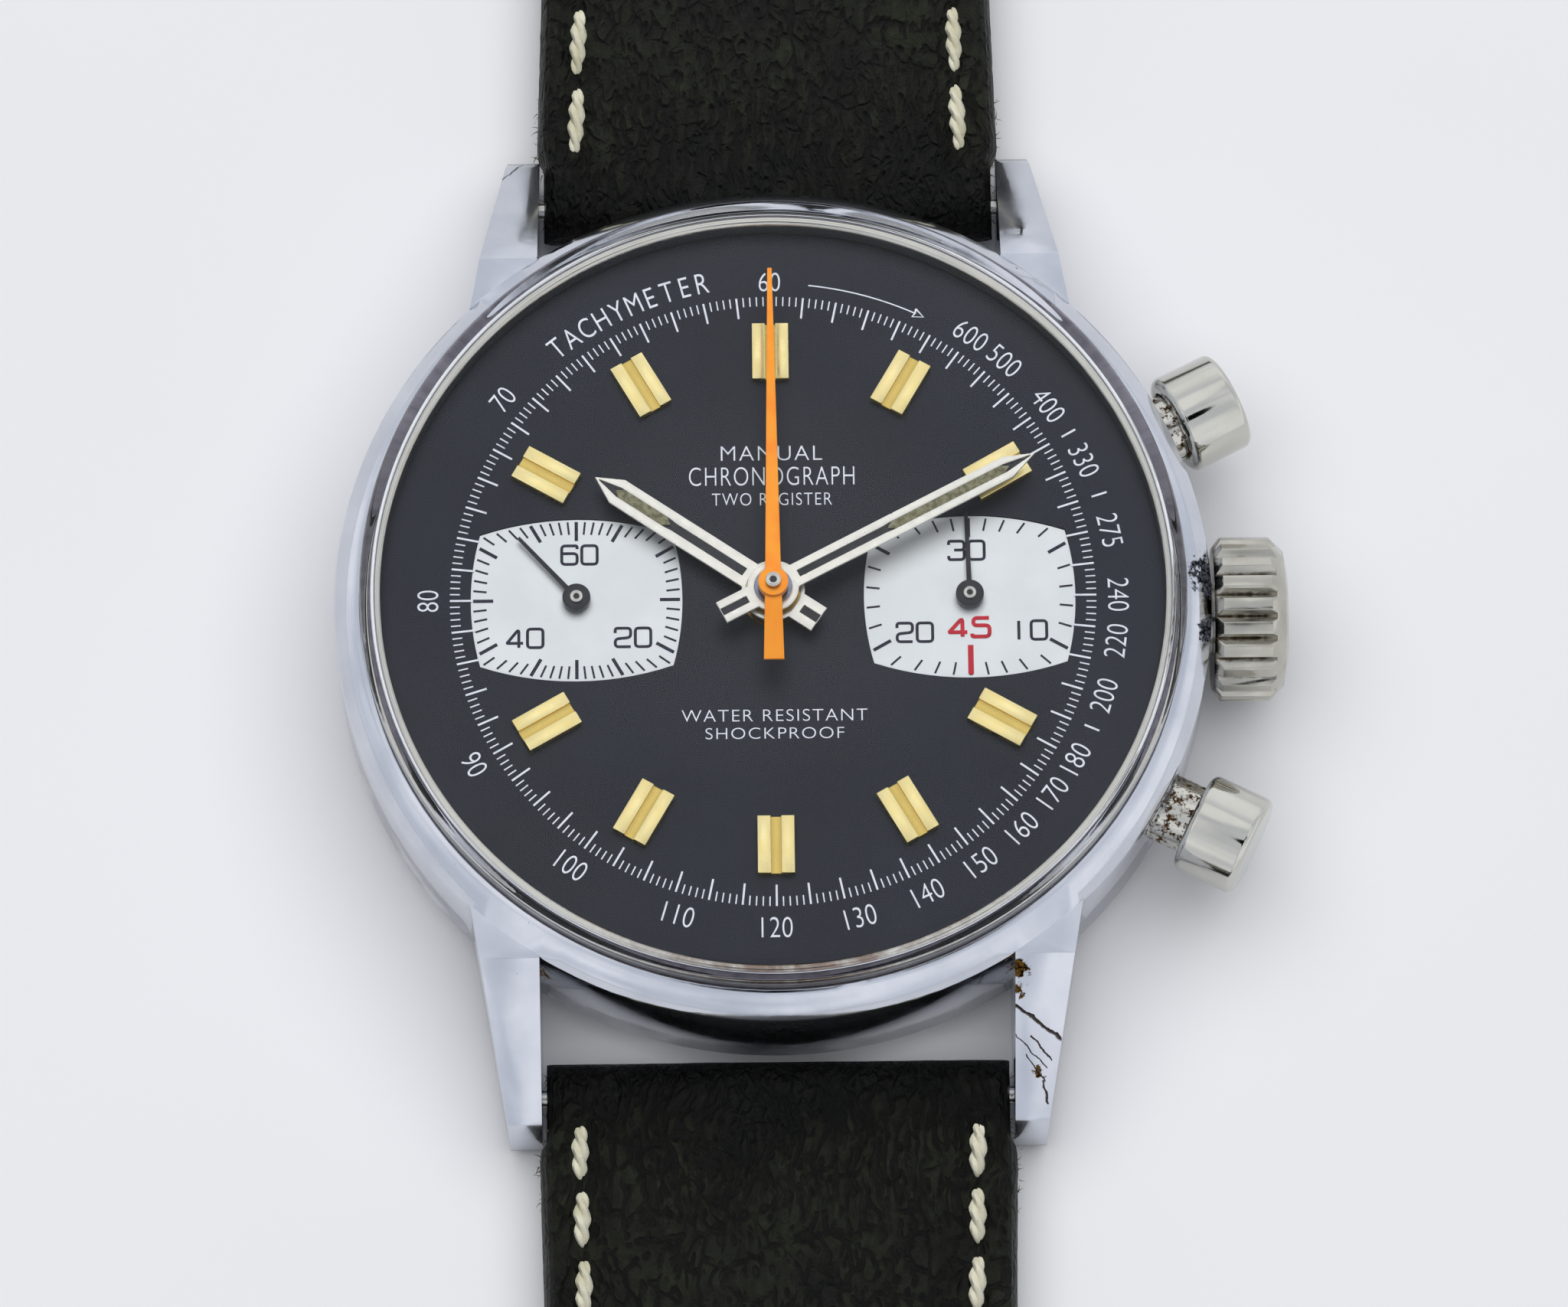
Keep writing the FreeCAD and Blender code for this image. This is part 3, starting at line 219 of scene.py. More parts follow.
def metalFinish(name, look):
    # haze varies the polish, brush stretches the fine lines along one axis
    material, tree, shader, place = principled(name, look["colour"], look["rough"][0], look.get("metallic", 1.0))
    haze = addNode(tree, "TexNoise", {"Vector": place, "Scale": perMm / look["haze"], "Detail": 4.0})
    level = addNode(tree, "MapRange", [haze, 0.35, 0.7, look["rough"][0], look["rough"][1]])
    feed(shader, {"Roughness": level})
    tint = addNode(tree, "Mix", {0: haze, 6: look["colour"], 7: look["dull"]})
    feed(shader, {"Base Color": tint})
    stretched = addNode(tree, "Mapping", {"Vector": place, "Scale": look.get("brush", (1, 1, 1))})
    lines = addNode(tree, "TexNoise", {"Vector": stretched, "Scale": perMm / look["line"], "Detail": 3.0,
            "Roughness": 0.6})
    bump = addNode(tree, "Bump", {"Height": lines, "Strength": look["strength"], "Distance": look["depth"] * mm})
    feed(shader, {"Normal": bump})
    return material, tree, shader, place, tint, bump


metalLooks = {
    # lapped and chromium plated brass: blue-white, near mirror, hazed by wear
    "chromedCase": dict(colour="#dfe2e8", dull="#b9bdc8", rough=(0.05, 0.2), haze=2.6, line=3.2,
                        strength=0.6, depth=0.03),
    # stamped and polished stainless steel: warmer than the chrome
    "polishedSteel": dict(colour="#d3d2cb", dull="#bfbdb4", rough=(0.035, 0.13), haze=1.6, line=0.35,
                          strength=0.3, depth=0.003),
    # the crown's ridges, rubbed dull by fingers
    "rubbedSteel": dict(colour="#c6c4bb", dull="#a9a69b", rough=(0.12, 0.3), haze=0.9, line=0.3,
                        strength=0.4, depth=0.005),
    "backSteel": dict(colour="#c9c8c4", dull="#b5b3ae", rough=(0.16, 0.34), haze=3.0, line=0.12,
                      brush=(0.05, 1, 1), strength=0.5, depth=0.004),
    # the markers are diamond-milled and gilt: pale yellow with a satin top
    "giltMarker": dict(colour="#fff2b8", dull="#ffe693", rough=(0.24, 0.34), haze=0.8, line=0.06,
                       strength=0.1, depth=0.002),
    # frosted nickel on the blanked hands, which scatters part of the light
    "nickelHand": dict(metallic=0.62, colour="#f3f1e7", dull="#dfddd2", rough=(0.26, 0.4), haze=0.5, line=0.09,
                       strength=0.5, depth=0.004),
    "nickelledBrass": dict(colour="#cfcdc2", dull="#bdb9aa", rough=(0.2, 0.34), haze=1.2, line=0.16,
                           brush=(1, 0.06, 1), strength=0.5, depth=0.004),
    "giltBrass": dict(colour="#dcbb6c", dull="#c7a352", rough=(0.18, 0.3), haze=0.9, line=0.1,
                      brush=(1, 1, 0.1), strength=0.4, depth=0.003),
    # tempered to straw and blue, then left bright on the faces
    "springSteel": dict(colour="#8f99ab", dull="#6d7890", rough=(0.14, 0.28), haze=0.6, line=0.08,
                        brush=(1, 1, 0.2), strength=0.4, depth=0.002),
    "buckleSteel": dict(colour="#d2d1cc", dull="#bdbbb5", rough=(0.12, 0.26), haze=1.8, line=0.12,
                        brush=(0.08, 1, 1), strength=0.45, depth=0.004),
}


def plainMetal(name):
    return metalFinish(name, metalLooks[name])[0]


caseWear = {
    # x, y, z, reach in mm of the rust and dirt that sits in the roots and around the buttons
    "rust": [(10.2, -16.4, 7.3, 0.8), (10.15, -17.2, 6.8, 0.7), (10.0, -15.2, 6.0, 1.6), (-10.0, -15.3, 6.0, 1.6),
             (-10.2, 15.6, 6.0, 1.0), (11.0, -20.2, 4.6, 0.5)],
    "grime": [(18.6, 0.9, 7.9, 1.7), (18.6, -1.6, 7.8, 1.2), (17.3, 7.6, 6.5, 1.3), (17.2, -8.6, 6.5, 1.5)],
    # from x, y to x, y and width in mm of the cuts across the knocked lug
    "cuts": [(10.0, -17.8, 11.95, -19.0, 0.08), (10.75, -18.9, 11.55, -19.8, 0.045),
             (10.1, -18.9, 11.4, -20.1, 0.03), (10.5, -19.6, 11.3, -20.6, 0.03),
             (11.2, -20.6, 11.45, -21.4, 0.05), (-11.9, 20.8, -10.8, 22.1, 0.04)],
}


def nearness(tree, place, spot):
    # 1 at the spot, falling to 0 at its reach
    x, y, z, reach = spot
    away = addNode(tree, "VectorMath", [place, (x * mm, y * mm, z * mm)], operation="DISTANCE")
    return addNode(tree, "MapRange", [away, 0.0, reach * mm, 1.0, 0.0])


def crownSteel():
    # the polished ridges of the crown, with brown dirt packed in its grooves
    material, tree, shader, place, tint, _ = metalFinish("crownSteel", metalLooks["rubbedSteel"])
    flat = addNode(tree, "VectorMath", [place, (0, 1, 1)], operation="MULTIPLY")
    out = addNode(tree, "VectorMath", [flat, (0, 0, crownLook["axis"] * mm)], operation="DISTANCE")
    crumbs = addNode(tree, "TexNoise", {"Vector": place, "Scale": perMm / 0.3, "Detail": 4.0})
    ragged = addNode(tree, "Math", [crumbs, 0.3 * mm, out], operation="MULTIPLY_ADD")
    mask = addNode(tree, "MapRange", [ragged, crownLook["dirt"][0] * mm, crownLook["dirt"][1] * mm, 1.0, 0.0])
    along = addNode(tree, "SeparateXYZ", [place])
    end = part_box("crown")[1][0]
    inside = addNode(tree, "MapRange", [along.outputs["X"], end - 1.1 * mm, end - 0.7 * mm, 1.0, 0.0])
    packed = addNode(tree, "Math", [mask, inside], operation="MULTIPLY")
    dirty = addNode(tree, "Mix", {0: packed, 6: tint, 7: crownLook["colour"]})
    feed(shader, {"Base Color": dirty})
    return material


def steppedGilt():
    # gilt markers: painted shade, the sunk strip between the two bars and the sides are given a darker, browner
    # gold
    material, tree, shader, place, tint, _ = metalFinish("steppedGilt", metalLooks["giltMarker"])
    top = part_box("hour_markers")[1][2]
    height = addNode(tree, "SeparateXYZ", [place])
    sunk = addNode(tree, "MapRange", [height.outputs["Z"], top - 0.1 * mm, top - 0.05 * mm, 1.0, 0.0])
    tone = addNode(tree, "Mix", {0: sunk, 6: tint, 7: "#dcc06c"})
    feed(shader, {"Base Color": tone})
    return material


def pittedSteel():
    # the tubes behind the buttons, eaten by rust
    material, tree, shader, place, tint, _ = metalFinish("pittedSteel", metalLooks["polishedSteel"])
    pits = addNode(tree, "TexNoise", {"Vector": place, "Scale": perMm / 0.32, "Detail": 5.0, "Roughness": 0.7})
    mask = addNode(tree, "MapRange", [pits, 0.5, 0.58])
    brown = addNode(tree, "Mix", {0: mask, 6: tint, 7: "#5f4324"})
    feed(shader, {"Base Color": brown})
    rust = addNode(tree, "MapRange", [pits, 0.5, 0.58, 0.1, 0.8])
    feed(shader, {"Roughness": rust})
    return material


crownLook = {"axis": 4.75, "dirt": (3.28, 3.42), "colour": "#54493a"}


def wornChrome():
    # chromium over brass that has been knocked about: pits and rust in the roots, deep scratches on one lug
    material, tree, shader, place, tint, bump = metalFinish("chromedCase", metalLooks["chromedCase"])
    colour = tint
    speckle = addNode(tree, "TexNoise", {"Vector": place, "Scale": perMm / 0.45, "Detail": 6.0, "Roughness": 0.7})
    rusty = 0.0
    fleck = addNode(tree, "TexNoise", {"Vector": place, "Scale": perMm / 0.13, "Detail": 4.0})
    grain = addNode(tree, "MapRange", [fleck, 0.42, 0.56])
    for key, dark, light in (("rust", "#2f180d", "#94733a"), ("grime", "#1f2023", "#6f727a")):
        total = 0.0
        for spot in caseWear[key]:
            total = addNode(tree, "Math", [nearness(tree, place, spot), total], operation="MAXIMUM")
        ragged = addNode(tree, "Math", [speckle, 2.2, total], operation="MULTIPLY_ADD")
        mask = addNode(tree, "MapRange", [ragged, 1.55, 1.68])
        dirt = addNode(tree, "Mix", {0: grain, 6: dark, 7: light})
        colour = addNode(tree, "Mix", {0: mask, 6: colour, 7: dirt})
        rusty = addNode(tree, "Math", [mask, rusty], operation="MAXIMUM")
    feed(shader, {"Base Color": colour})
    rough = shader.inputs["Roughness"].links[0].from_socket
    dulled = addNode(tree, "Math", [rusty, rough], operation="MAXIMUM")
    feed(shader, {"Roughness": dulled})
    # a few cuts, each the distance to a straight line, made ragged by a noise
    shake = addNode(tree, "TexNoise", {"Vector": place, "Scale": perMm / 0.5, "Detail": 3.0})
    moved = addNode(tree, "VectorMath", [shake.outputs["Color"], (0.0003, 0.0003, 0.0), place],
            operation="MULTIPLY_ADD")
    level = addNode(tree, "VectorMath", [moved, (1, 1, 0)], operation="MULTIPLY")
    cut = 0.0
    for x, y, farX, farY, width in caseWear["cuts"]:
        start = Vector((x + 0.15, y + 0.15, 0)) * mm
        run = Vector((farX - x, farY - y, 0)) * mm
        rel = addNode(tree, "VectorMath", [level, start], operation="SUBTRACT")
        share = addNode(tree, "VectorMath", [rel, run / run.length_squared], operation="DOT_PRODUCT")
        kept = addNode(tree, "Clamp", {"Value": share})
        foot = addNode(tree, "VectorMath", {0: run, "Scale": kept}, operation="SCALE")
        off = addNode(tree, "VectorMath", [rel, foot], operation="DISTANCE")
        line = addNode(tree, "MapRange", [off, 0.4 * width * mm, width * mm, 1.0, 0.0])
        cut = addNode(tree, "Math", [line, cut], operation="MAXIMUM")
    colour = addNode(tree, "Mix", {0: cut, 6: colour, 7: "#3f3733"})
    feed(shader, {"Base Color": colour})
    scratch = addNode(tree, "Bump", {"Height": cut, "Strength": 1.0, "Distance": 0.05 * mm, "Normal": bump},
            invert=True)
    feed(shader, {"Normal": scratch})
    return material


def acrylicCrystal():
    # moulded acrylic: clear, softer shine than glass, and it lets the lamp through to the dial
    material, tree, shader, _ = principled("acrylicCrystal", "#ffffff", 0.01, Transmission_Weight=1.0, IOR=1.2)
    rays = addNode(tree, "LightPath")
    clear = addNode(tree, "BsdfTransparent", {"Color": (0.97, 0.97, 0.98, 1)})
    seeThrough = addNode(tree, "MixShader", [rays.outputs["Is Diffuse Ray"], shader, clear])
    mixed = addNode(tree, "MixShader", [rays.outputs["Is Shadow Ray"], seeThrough, clear])
    feed(tree.nodes["Material Output"], {"Surface": mixed})
    return material


paintBase = dict(strength=0.3, depth=0.004, spread=(0.4, 0.7))


def paintFinish(name, look):
    # sprayed lacquer, printing ink, rubber and lume: a mottle of two tones and a fine surface texture
    look = {**paintBase, **look}
    material, tree, shader, place = principled(name, look["colour"], look["rough"], **look.get("sockets", {}))
    cloud = addNode(tree, "TexNoise", {"Vector": place, "Scale": perMm / look["cloud"], "Detail": 5.0})
    mask = addNode(tree, "MapRange", [cloud, *look["spread"]])
    tone = addNode(tree, "Mix", {0: mask, 6: look["colour"], 7: look["second"]})
    feed(shader, {"Base Color": tone})
    grit = addNode(tree, "TexNoise", {"Vector": place, "Scale": perMm / look["grit"], "Detail": 3.0})
    bump = addNode(tree, "Bump", {"Height": grit, "Strength": look["strength"], "Distance": look["depth"] * mm})
    feed(shader, {"Normal": bump})
    return material


paintLooks = {
    # blue-black dial lacquer under a clear coat
    "dialLacquer": dict(colour="#22252d", second="#1f2229", rough=0.4, cloud=6.0, grit=2.0, strength=0.05,
                        depth=0.002, sockets={"Specular_IOR_Level": 0.22}, spread=(0.4, 0.65)),
    "registerWhite": dict(colour="#dde2e3", second="#e4e9ea", rough=0.42, cloud=2.5, grit=0.1, strength=0.12,
                          depth=0.002, spread=(0.4, 0.65)),
    "whiteInk": dict(colour="#e9edf4", second="#cfd5df", rough=0.5, cloud=0.3, grit=0.05, spread=(0.5, 0.75)),
    "navyInk": dict(colour="#14162a", second="#0b0c15", rough=0.5, cloud=0.4, grit=0.05),
    "redInk": dict(colour="#c02a38", second="#a41f2e", rough=0.5, cloud=0.4, grit=0.05),
    # signal-orange enamel with specks of dirt
    "orangeEnamel": dict(colour="#ffa024", second="#ff8e1a", rough=0.38, cloud=1.1, grit=0.2,
                         depth=0.006, spread=(0.45, 0.7)),
    "blackHand": dict(colour="#1b1d24", second="#0f1014", rough=0.32, cloud=0.6, grit=0.1, strength=0.25),
    # aged luminous compound: olive, chalky and cracked
    "agedLume": dict(colour="#8b8a70", second="#63624c", rough=0.85, cloud=0.22, grit=0.07, strength=0.8,
                     depth=0.02, spread=(0.4, 0.62)),
    # the pale raw fibres that stand out of a worn edge of the hide
    "frayedSuede": dict(colour="#6b5c40", second="#3a3122", rough=0.9, cloud=0.3, grit=0.05,
                        sockets={"Sheen_Weight": 0.4}, spread=(0.4, 0.6)),
    # the cement that the crystal is bedded in, grey with a violet cast
    "bedCement": dict(colour="#77757f", second="#55535f", rough=0.5, cloud=0.5, grit=0.08),
    "gasketRubber": dict(colour="#1c1b1a", second="#262422", rough=0.7, cloud=1.5, grit=0.1, strength=0.4,
                         depth=0.01),
    # synthetic ruby
    "ruby": dict(colour="#b0184a", second="#c42a5c", rough=0.08, cloud=0.5, grit=0.4, strength=0.05,
                 depth=0.002, sockets={"Coat_Weight": 0.6}),
    # waxed linen thread, grey where it has been handled
    "linenThread": dict(colour="#dfdcc6", second="#b9b596", rough=0.8, cloud=1.6, grit=0.07, strength=0.7,
                        depth=0.03, sockets={"Sheen_Weight": 0.3}, spread=(0.42, 0.72)),
}


def strapLeather():
    # oiled buffalo hide: almost black with an olive cast, dense open pores, and creases worn in by the bars
    look = leatherLook
    material, tree, shader, place = principled("strapLeather", look["worn"], 0.5, Specular_IOR_Level=0.2)
    warp = addNode(tree, "TexNoise", {"Vector": place, "Scale": perMm / 2.6, "Detail": 2.0})
    swirl = addNode(tree, "VectorMath", [warp.outputs["Color"], (0.0016, 0.0016, 0.0)], operation="MULTIPLY")
    bent = addNode(tree, "VectorMath", [place, swirl], operation="ADD")
    drawnOut = addNode(tree, "Mapping", {"Vector": bent, "Scale": (1, 0.5, 1)})
    pores = addNode(tree, "TexVoronoi", {"Vector": drawnOut, "Scale": perMm / look["pore"]})
    pit = addNode(tree, "MapRange", [pores, 0.1, 0.4])
    cracks = addNode(tree, "TexVoronoi", {"Vector": drawnOut, "Scale": perMm / look["crack"]},
            feature="DISTANCE_TO_EDGE")
    split = addNode(tree, "MapRange", [cracks, 0.0, 0.13])
    patchy = addNode(tree, "TexNoise", {"Vector": place, "Scale": perMm / 2.4, "Detail": 3.0})
    calm = addNode(tree, "MapRange", [patchy, 0.48, 0.66])
    pored = addNode(tree, "Math", [pit, calm], operation="MAXIMUM")
    # the crazing is broken up, and deepest where the hide rolls over the bars
    gaps = addNode(tree, "TexNoise", {"Vector": place, "Scale": perMm / 0.9, "Detail": 2.0})
    unbroken = addNode(tree, "MapRange", [gaps, 0.42, 0.56, 0.25])
    fold = addNode(tree, "Math", [split, unbroken], operation="MAXIMUM")
    drawn = addNode(tree, "Mapping", {"Vector": bent, "Scale": (1, 0.14, 1)})
    pleats = addNode(tree, "TexNoise", {"Vector": drawn, "Scale": perMm / 0.34, "Detail": 3.0})
    pleat = addNode(tree, "MapRange", [pleats, 0.36, 0.52])
    along = addNode(tree, "SeparateXYZ", [place])
    away = addNode(tree, "Math", [along.outputs["Y"]], operation="ABSOLUTE")
    flat = addNode(tree, "MapRange", [away, 0.0215, 0.0285, 0.1, 1.0], interpolation_type="SMOOTHSTEP")
    eased = addNode(tree, "Math", [pleat, flat], operation="MAXIMUM")
    creased = addNode(tree, "Math", [fold, eased], operation="MULTIPLY")
    skin = addNode(tree, "Math", [pored, creased], operation="MULTIPLY")
    cloud = addNode(tree, "TexNoise", {"Vector": place, "Scale": perMm / 4.0, "Detail": 6.0, "Roughness": 0.65})
    level = addNode(tree, "MapRange", [cloud, 0.36, 0.64])
    tone = addNode(tree, "Mix", {0: level, 6: look["deep"], 7: look["worn"]})
    # painted shade: the pores, the cracks and the creases are darkened to the near-black pit colour
    dark = addNode(tree, "Mix", {0: skin, 6: look["pit"], 7: tone})
    # painted shade: the hide darkens to near black towards the case, where it rolls over the bars
    caseShade = addNode(tree, "MapRange", [away, 0.0195, 0.0245, 0.25, 1.0], interpolation_type="SMOOTHSTEP")
    shaded = addNode(tree, "Mix", {0: caseShade, 6: look["pit"], 7: dark})
    feed(shader, {"Base Color": shaded})
    grain = addNode(tree, "TexNoise", {"Vector": drawnOut, "Scale": perMm / 0.28, "Detail": 5.0, "Roughness": 0.7,
            "Distortion": 0.4})
    relief = addNode(tree, "Math", [skin, 1.3, grain], operation="MULTIPLY_ADD")
    whole = addNode(tree, "Math", [cloud, 2.2, relief], operation="MULTIPLY_ADD")
    bump = addNode(tree, "Bump", {"Height": whole, "Strength": 1.0, "Distance": 0.4 * mm})
    feed(shader, {"Normal": bump})
    gloss = addNode(tree, "MapRange", [cloud, 0.3, 0.7, 0.34, 0.6])
    feed(shader, {"Roughness": gloss})
    return material


# pit is the near-black of the painted shade in the pores, cracks and creases and towards the case
leatherLook = {"deep": "#0e0f0b", "worn": "#26281e", "pit": "#030302", "pore": 0.36, "crack": 0.62}
paints = {name: paintFinish(name, look) for name, look in paintLooks.items()}
metals = {name: plainMetal(name) for name in metalLooks if name != "chromedCase"}
chrome = wornChrome()
leather = strapLeather()
slotFinish = {
    "chromed_case": chrome, "case_back_steel": metals["backSteel"], "polished_steel": metals["polishedSteel"],
    "acrylic_crystal": acrylicCrystal(), "gasket_rubber": paints["gasketRubber"],
    "dial_lacquer": paints["dialLacquer"], "gilt_markers": metals["giltMarker"],
    "nickel_hands": metals["nickelHand"], "orange_hand": paints["orangeEnamel"],
    "black_hand": paints["blackHand"], "nickelled_brass": metals["nickelledBrass"],
    "gilt_brass": metals["giltBrass"], "spring_steel": metals["springSteel"], "ruby": paints["ruby"],
    "strap_leather": leather, "buckle_steel": metals["buckleSteel"],
}
for part in frame["record"]["subparts"]:
    mesh = nodes[part["node"]].data
    mesh.materials.clear()
    mesh.materials.append(slotFinish[part["material_slot"]])
nodes["pusher_tubes"].data.materials[0] = pittedSteel()
print("finishes made")


edgeBreaks = {
    # node, body, edge width in mm
    "case_middle": ("case", 0.05), "crown": ("crown", 0.06), "top_pusher": ("top_pusher", 0.05),
    "bottom_pusher": ("bottom_pusher", 0.05), "hour_markers": ("case", 0.025),
    "chronograph_hand": ("chronograph_train", 0.02), "running_seconds_hand": ("seconds_train", 0.02),
    "minute_counter_hand": ("minute_counter", 0.02), "buckle_frame": ("buckle", 0.12),
    "buckle_tang": ("tang", 0.1), "fixed_keeper": ("strap_buckle_side", 0.22),
    "free_keeper": ("free_keeper", 0.22),
}
workedFinish = {"crown": crownSteel(), "hour_markers": steppedGilt()}
slotOf = {part["node"]: part["material_slot"] for part in frame["record"]["subparts"]}
for node, (body, width) in edgeBreaks.items():
    finish = workedFinish.get(node, slotFinish[slotOf[node]])
    worked = pieceFromMesh(node + "_worked", softenedCopy(node, width), finish, body)
    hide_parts(node)
print("edges broken on", len(edgeBreaks), "nodes")


coilLook = {
    # how far each button goes in, in mm
    "top_pusher": 0.65, "bottom_pusher": 1.2,
}


def buttonSpring(name):
    # the CAD coil copied with its close points merged, set on the case in spring steel
    node = name + "_spring"
    mesh = nodes[node].data.copy()
    written(merged(mesh, 0.001), mesh, outwards=False)
    coil = pieceFromMesh(node + "_coil", mesh, metals["springSteel"], "case", smoothAngle=60)
    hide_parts(node)
    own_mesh(coil)


for name, travel in coilLook.items():
    buttonSpring(name)
print("button springs coiled")


crystalLook = {
    # radius and height in mm: the foot, the shoulder, the edge of the dome and its top
    "foot": (17.65, 8.1), "shoulder": 9.6, "edge": 16.9, "top": 12.4, "domeRadius": 75.0, "wall": 0.5, "steps": 240,
}


def lathe(profile, steps):
    # a closed outline of (radius, height) points in mm, turned about the watch's axis
    bm = bmesh.new()
    line = [bm.verts.new((r * mm, 0, z * mm)) for r, z in profile]
    for pair in zip(line, line[1:] + line[:1]):
        if pair[0].co.x + pair[1].co.x > 0:
            bm.edges.new(pair)
    bmesh.ops.spin(bm, geom=line + list(bm.edges), axis=(0, 0, 1), cent=(0, 0, 0), angle=2 * math.pi, steps=steps,
            use_merge=True)
    bmesh.ops.remove_doubles(bm, verts=bm.verts, dist=0.002 * mm)
    return written(bm, bpy.data.meshes.new("lathe"))


def crystalShell():
    # one even wall all over, so that what is below keeps its place
    look = crystalLook
    radius, foot = look["foot"]
    rim = look["top"] - look["domeRadius"] + math.sqrt(look["domeRadius"] ** 2 - look["edge"] ** 2)
    sections = []
    for wall in (0.0, look["wall"]):
        edge, outer, top = look["edge"] - 0.4 * wall, radius - wall, rim - wall
        side = [(outer, foot), (outer, look["shoulder"] - 0.5 * wall)]
        for i in range(1, 9):
            a = math.pi / 2 * i / 8
            side.append((edge + (outer - edge) * math.cos(a), side[1][1] + (top - side[1][1]) * math.sin(a)))
        for i in range(1, 25):
            r = edge * (1 - i / 24)
            side.append((r, top + (look["top"] - wall - top) * (1 - (r / edge) ** 2)))
        sections.append(side)
    mesh = lathe(sections[0] + sections[1][::-1], look["steps"])
    piece = pieceFromMesh("crystal_shell", mesh, slotFinish["acrylic_crystal"], "case")
    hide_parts("crystal")


ringLook = {"inner": 16.73, "outer": 17.19, "foot": 8.07, "top": 9.04, "seat": (17.2, 17.52, 8.053, 8.092)}


def tensionRing():
    # a bright steel ring with a rounded top, and the bedding that shows round it
    look = ringLook
    half = (look["outer"] - look["inner"]) / 2
    crown = [(look["inner"] + half - half * math.cos(math.pi * i / 12), look["top"] - half
            + half * math.sin(math.pi * i / 12)) for i in range(13)]
    mesh = lathe([(look["inner"], look["foot"]), *crown, (look["outer"], look["foot"])], 240)
    piece = pieceFromMesh("tension_ring_round", mesh, ringSteel(), "case", smoothAngle=50)
    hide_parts("tension_ring")
    inner, outer, low, high = look["seat"]
    bed = lathe([(inner, low), (inner, high), (outer, high), (outer, low)], 240)
    pieceFromMesh("crystal_bedding", bed, paints["bedCement"], "case")


def ringSteel():
    # polished steel gone brown with rust towards 6 o'clock
    material, tree, shader, place, tint, _ = metalFinish("ringSteel", metalLooks["polishedSteel"])
    patches = addNode(tree, "TexNoise", {"Vector": place, "Scale": perMm / 1.3, "Detail": 5.0, "Roughness": 0.7})
    low = nearness(tree, place, (1.0, -17.0, 8.8, 17.0))
    worst = addNode(tree, "Math", [patches, low], operation="MULTIPLY")
    mask = addNode(tree, "MapRange", [worst, 0.26, 0.5, 0.0, 0.8])
    brown = addNode(tree, "Mix", {0: mask, 6: tint, 7: "#7a6255"})
    feed(shader, {"Base Color": brown})
    return material


crystalShell()
tensionRing()


dialSize = {
    "top": 8.0, "inkThick": 0.014, "trackRadius": 13.81, "majorLength": 0.94, "minorLength": 0.42,
    "registerX": 8.4, "registerFloor": 7.9, "registerThick": 0.03,
    "registerSides": (4.55, 3.69), "registerCorner": (4.15, 3.0),
    "figureRadius": 14.75, "figureHeight": 0.9,
}


def arcThrough(first, middle, last, count):
    # points of the circle through three points, without the last one
    (ax, ay), (bx, by), (cx, cy) = first, middle, last
    d = 2 * (ax * (by - cy) + bx * (cy - ay) + cx * (ay - by))
    a2, b2, c2 = ax * ax + ay * ay, bx * bx + by * by, cx * cx + cy * cy
    ux = (a2 * (by - cy) + b2 * (cy - ay) + c2 * (ay - by)) / d
    uy = (a2 * (cx - bx) + b2 * (ax - cx) + c2 * (bx - ax)) / d
    start = math.atan2(ay - uy, ax - ux)
    sweep = (math.atan2(cy - uy, cx - ux) - start + math.pi) % (2 * math.pi) - math.pi
    radius = math.hypot(ax - ux, ay - uy)
    return [(ux + radius * math.cos(start + sweep * i / count), uy + radius * math.sin(start + sweep * i / count))
            for i in range(count)]


def registerOutline(inset):
    w, h = (side - inset for side in dialSize["registerSides"])
    cx, cy = (corner - inset for corner in dialSize["registerCorner"])
    corners = [(cx, cy), (-cx, cy), (-cx, -cy), (cx, -cy)]
    middles = [(0, h), (-w, 0), (0, -h), (w, 0)]
    outline = []
    for i in range(4):
        outline += arcThrough(corners[i], middles[i], corners[(i + 1) % 4], 14)
    return outline


def circle(radius, count=32, at=(0, 0)):
    return [(at[0] + radius * math.cos(2 * math.pi * i / count), at[1] + radius * math.sin(2 * math.pi * i / count))
            for i in range(count)]


for side in (-1, 1):
    centre = side * dialSize["registerX"]
    outline = [(x + centre, y) for x, y in registerOutline(0.03)]
    floor = dialSize["registerFloor"]
    mesh = cutPlate([outline, circle(0.36, at=(centre, 0))], floor, floor + dialSize["registerThick"])
    pieceFromMesh("register_seconds" if side < 0 else "register_minutes", mesh, paints["registerWhite"], "case")


def nodeGroup(name, wanted):
    # an empty tree of geometry nodes, and the sockets of its inputs
    tree = bpy.data.node_groups.new(name, "GeometryNodeTree")
    for label, kind in wanted.items():
        tree.interface.new_socket(label, in_out="INPUT", socket_type="NodeSocket" + kind)
    tree.interface.new_socket("Made", in_out="OUTPUT", socket_type="NodeSocketGeometry")
    return tree, addNode(tree, "NodeGroupInput").outputs


def groupEnd(tree, instances, material):
    real = addNode(tree, "GeometryNodeRealizeInstances", [instances])
    done = addNode(tree, "GeometryNodeSetMaterial", {"Geometry": real, "Material": material})
    addNode(tree, "NodeGroupOutput", [done])
    return tree


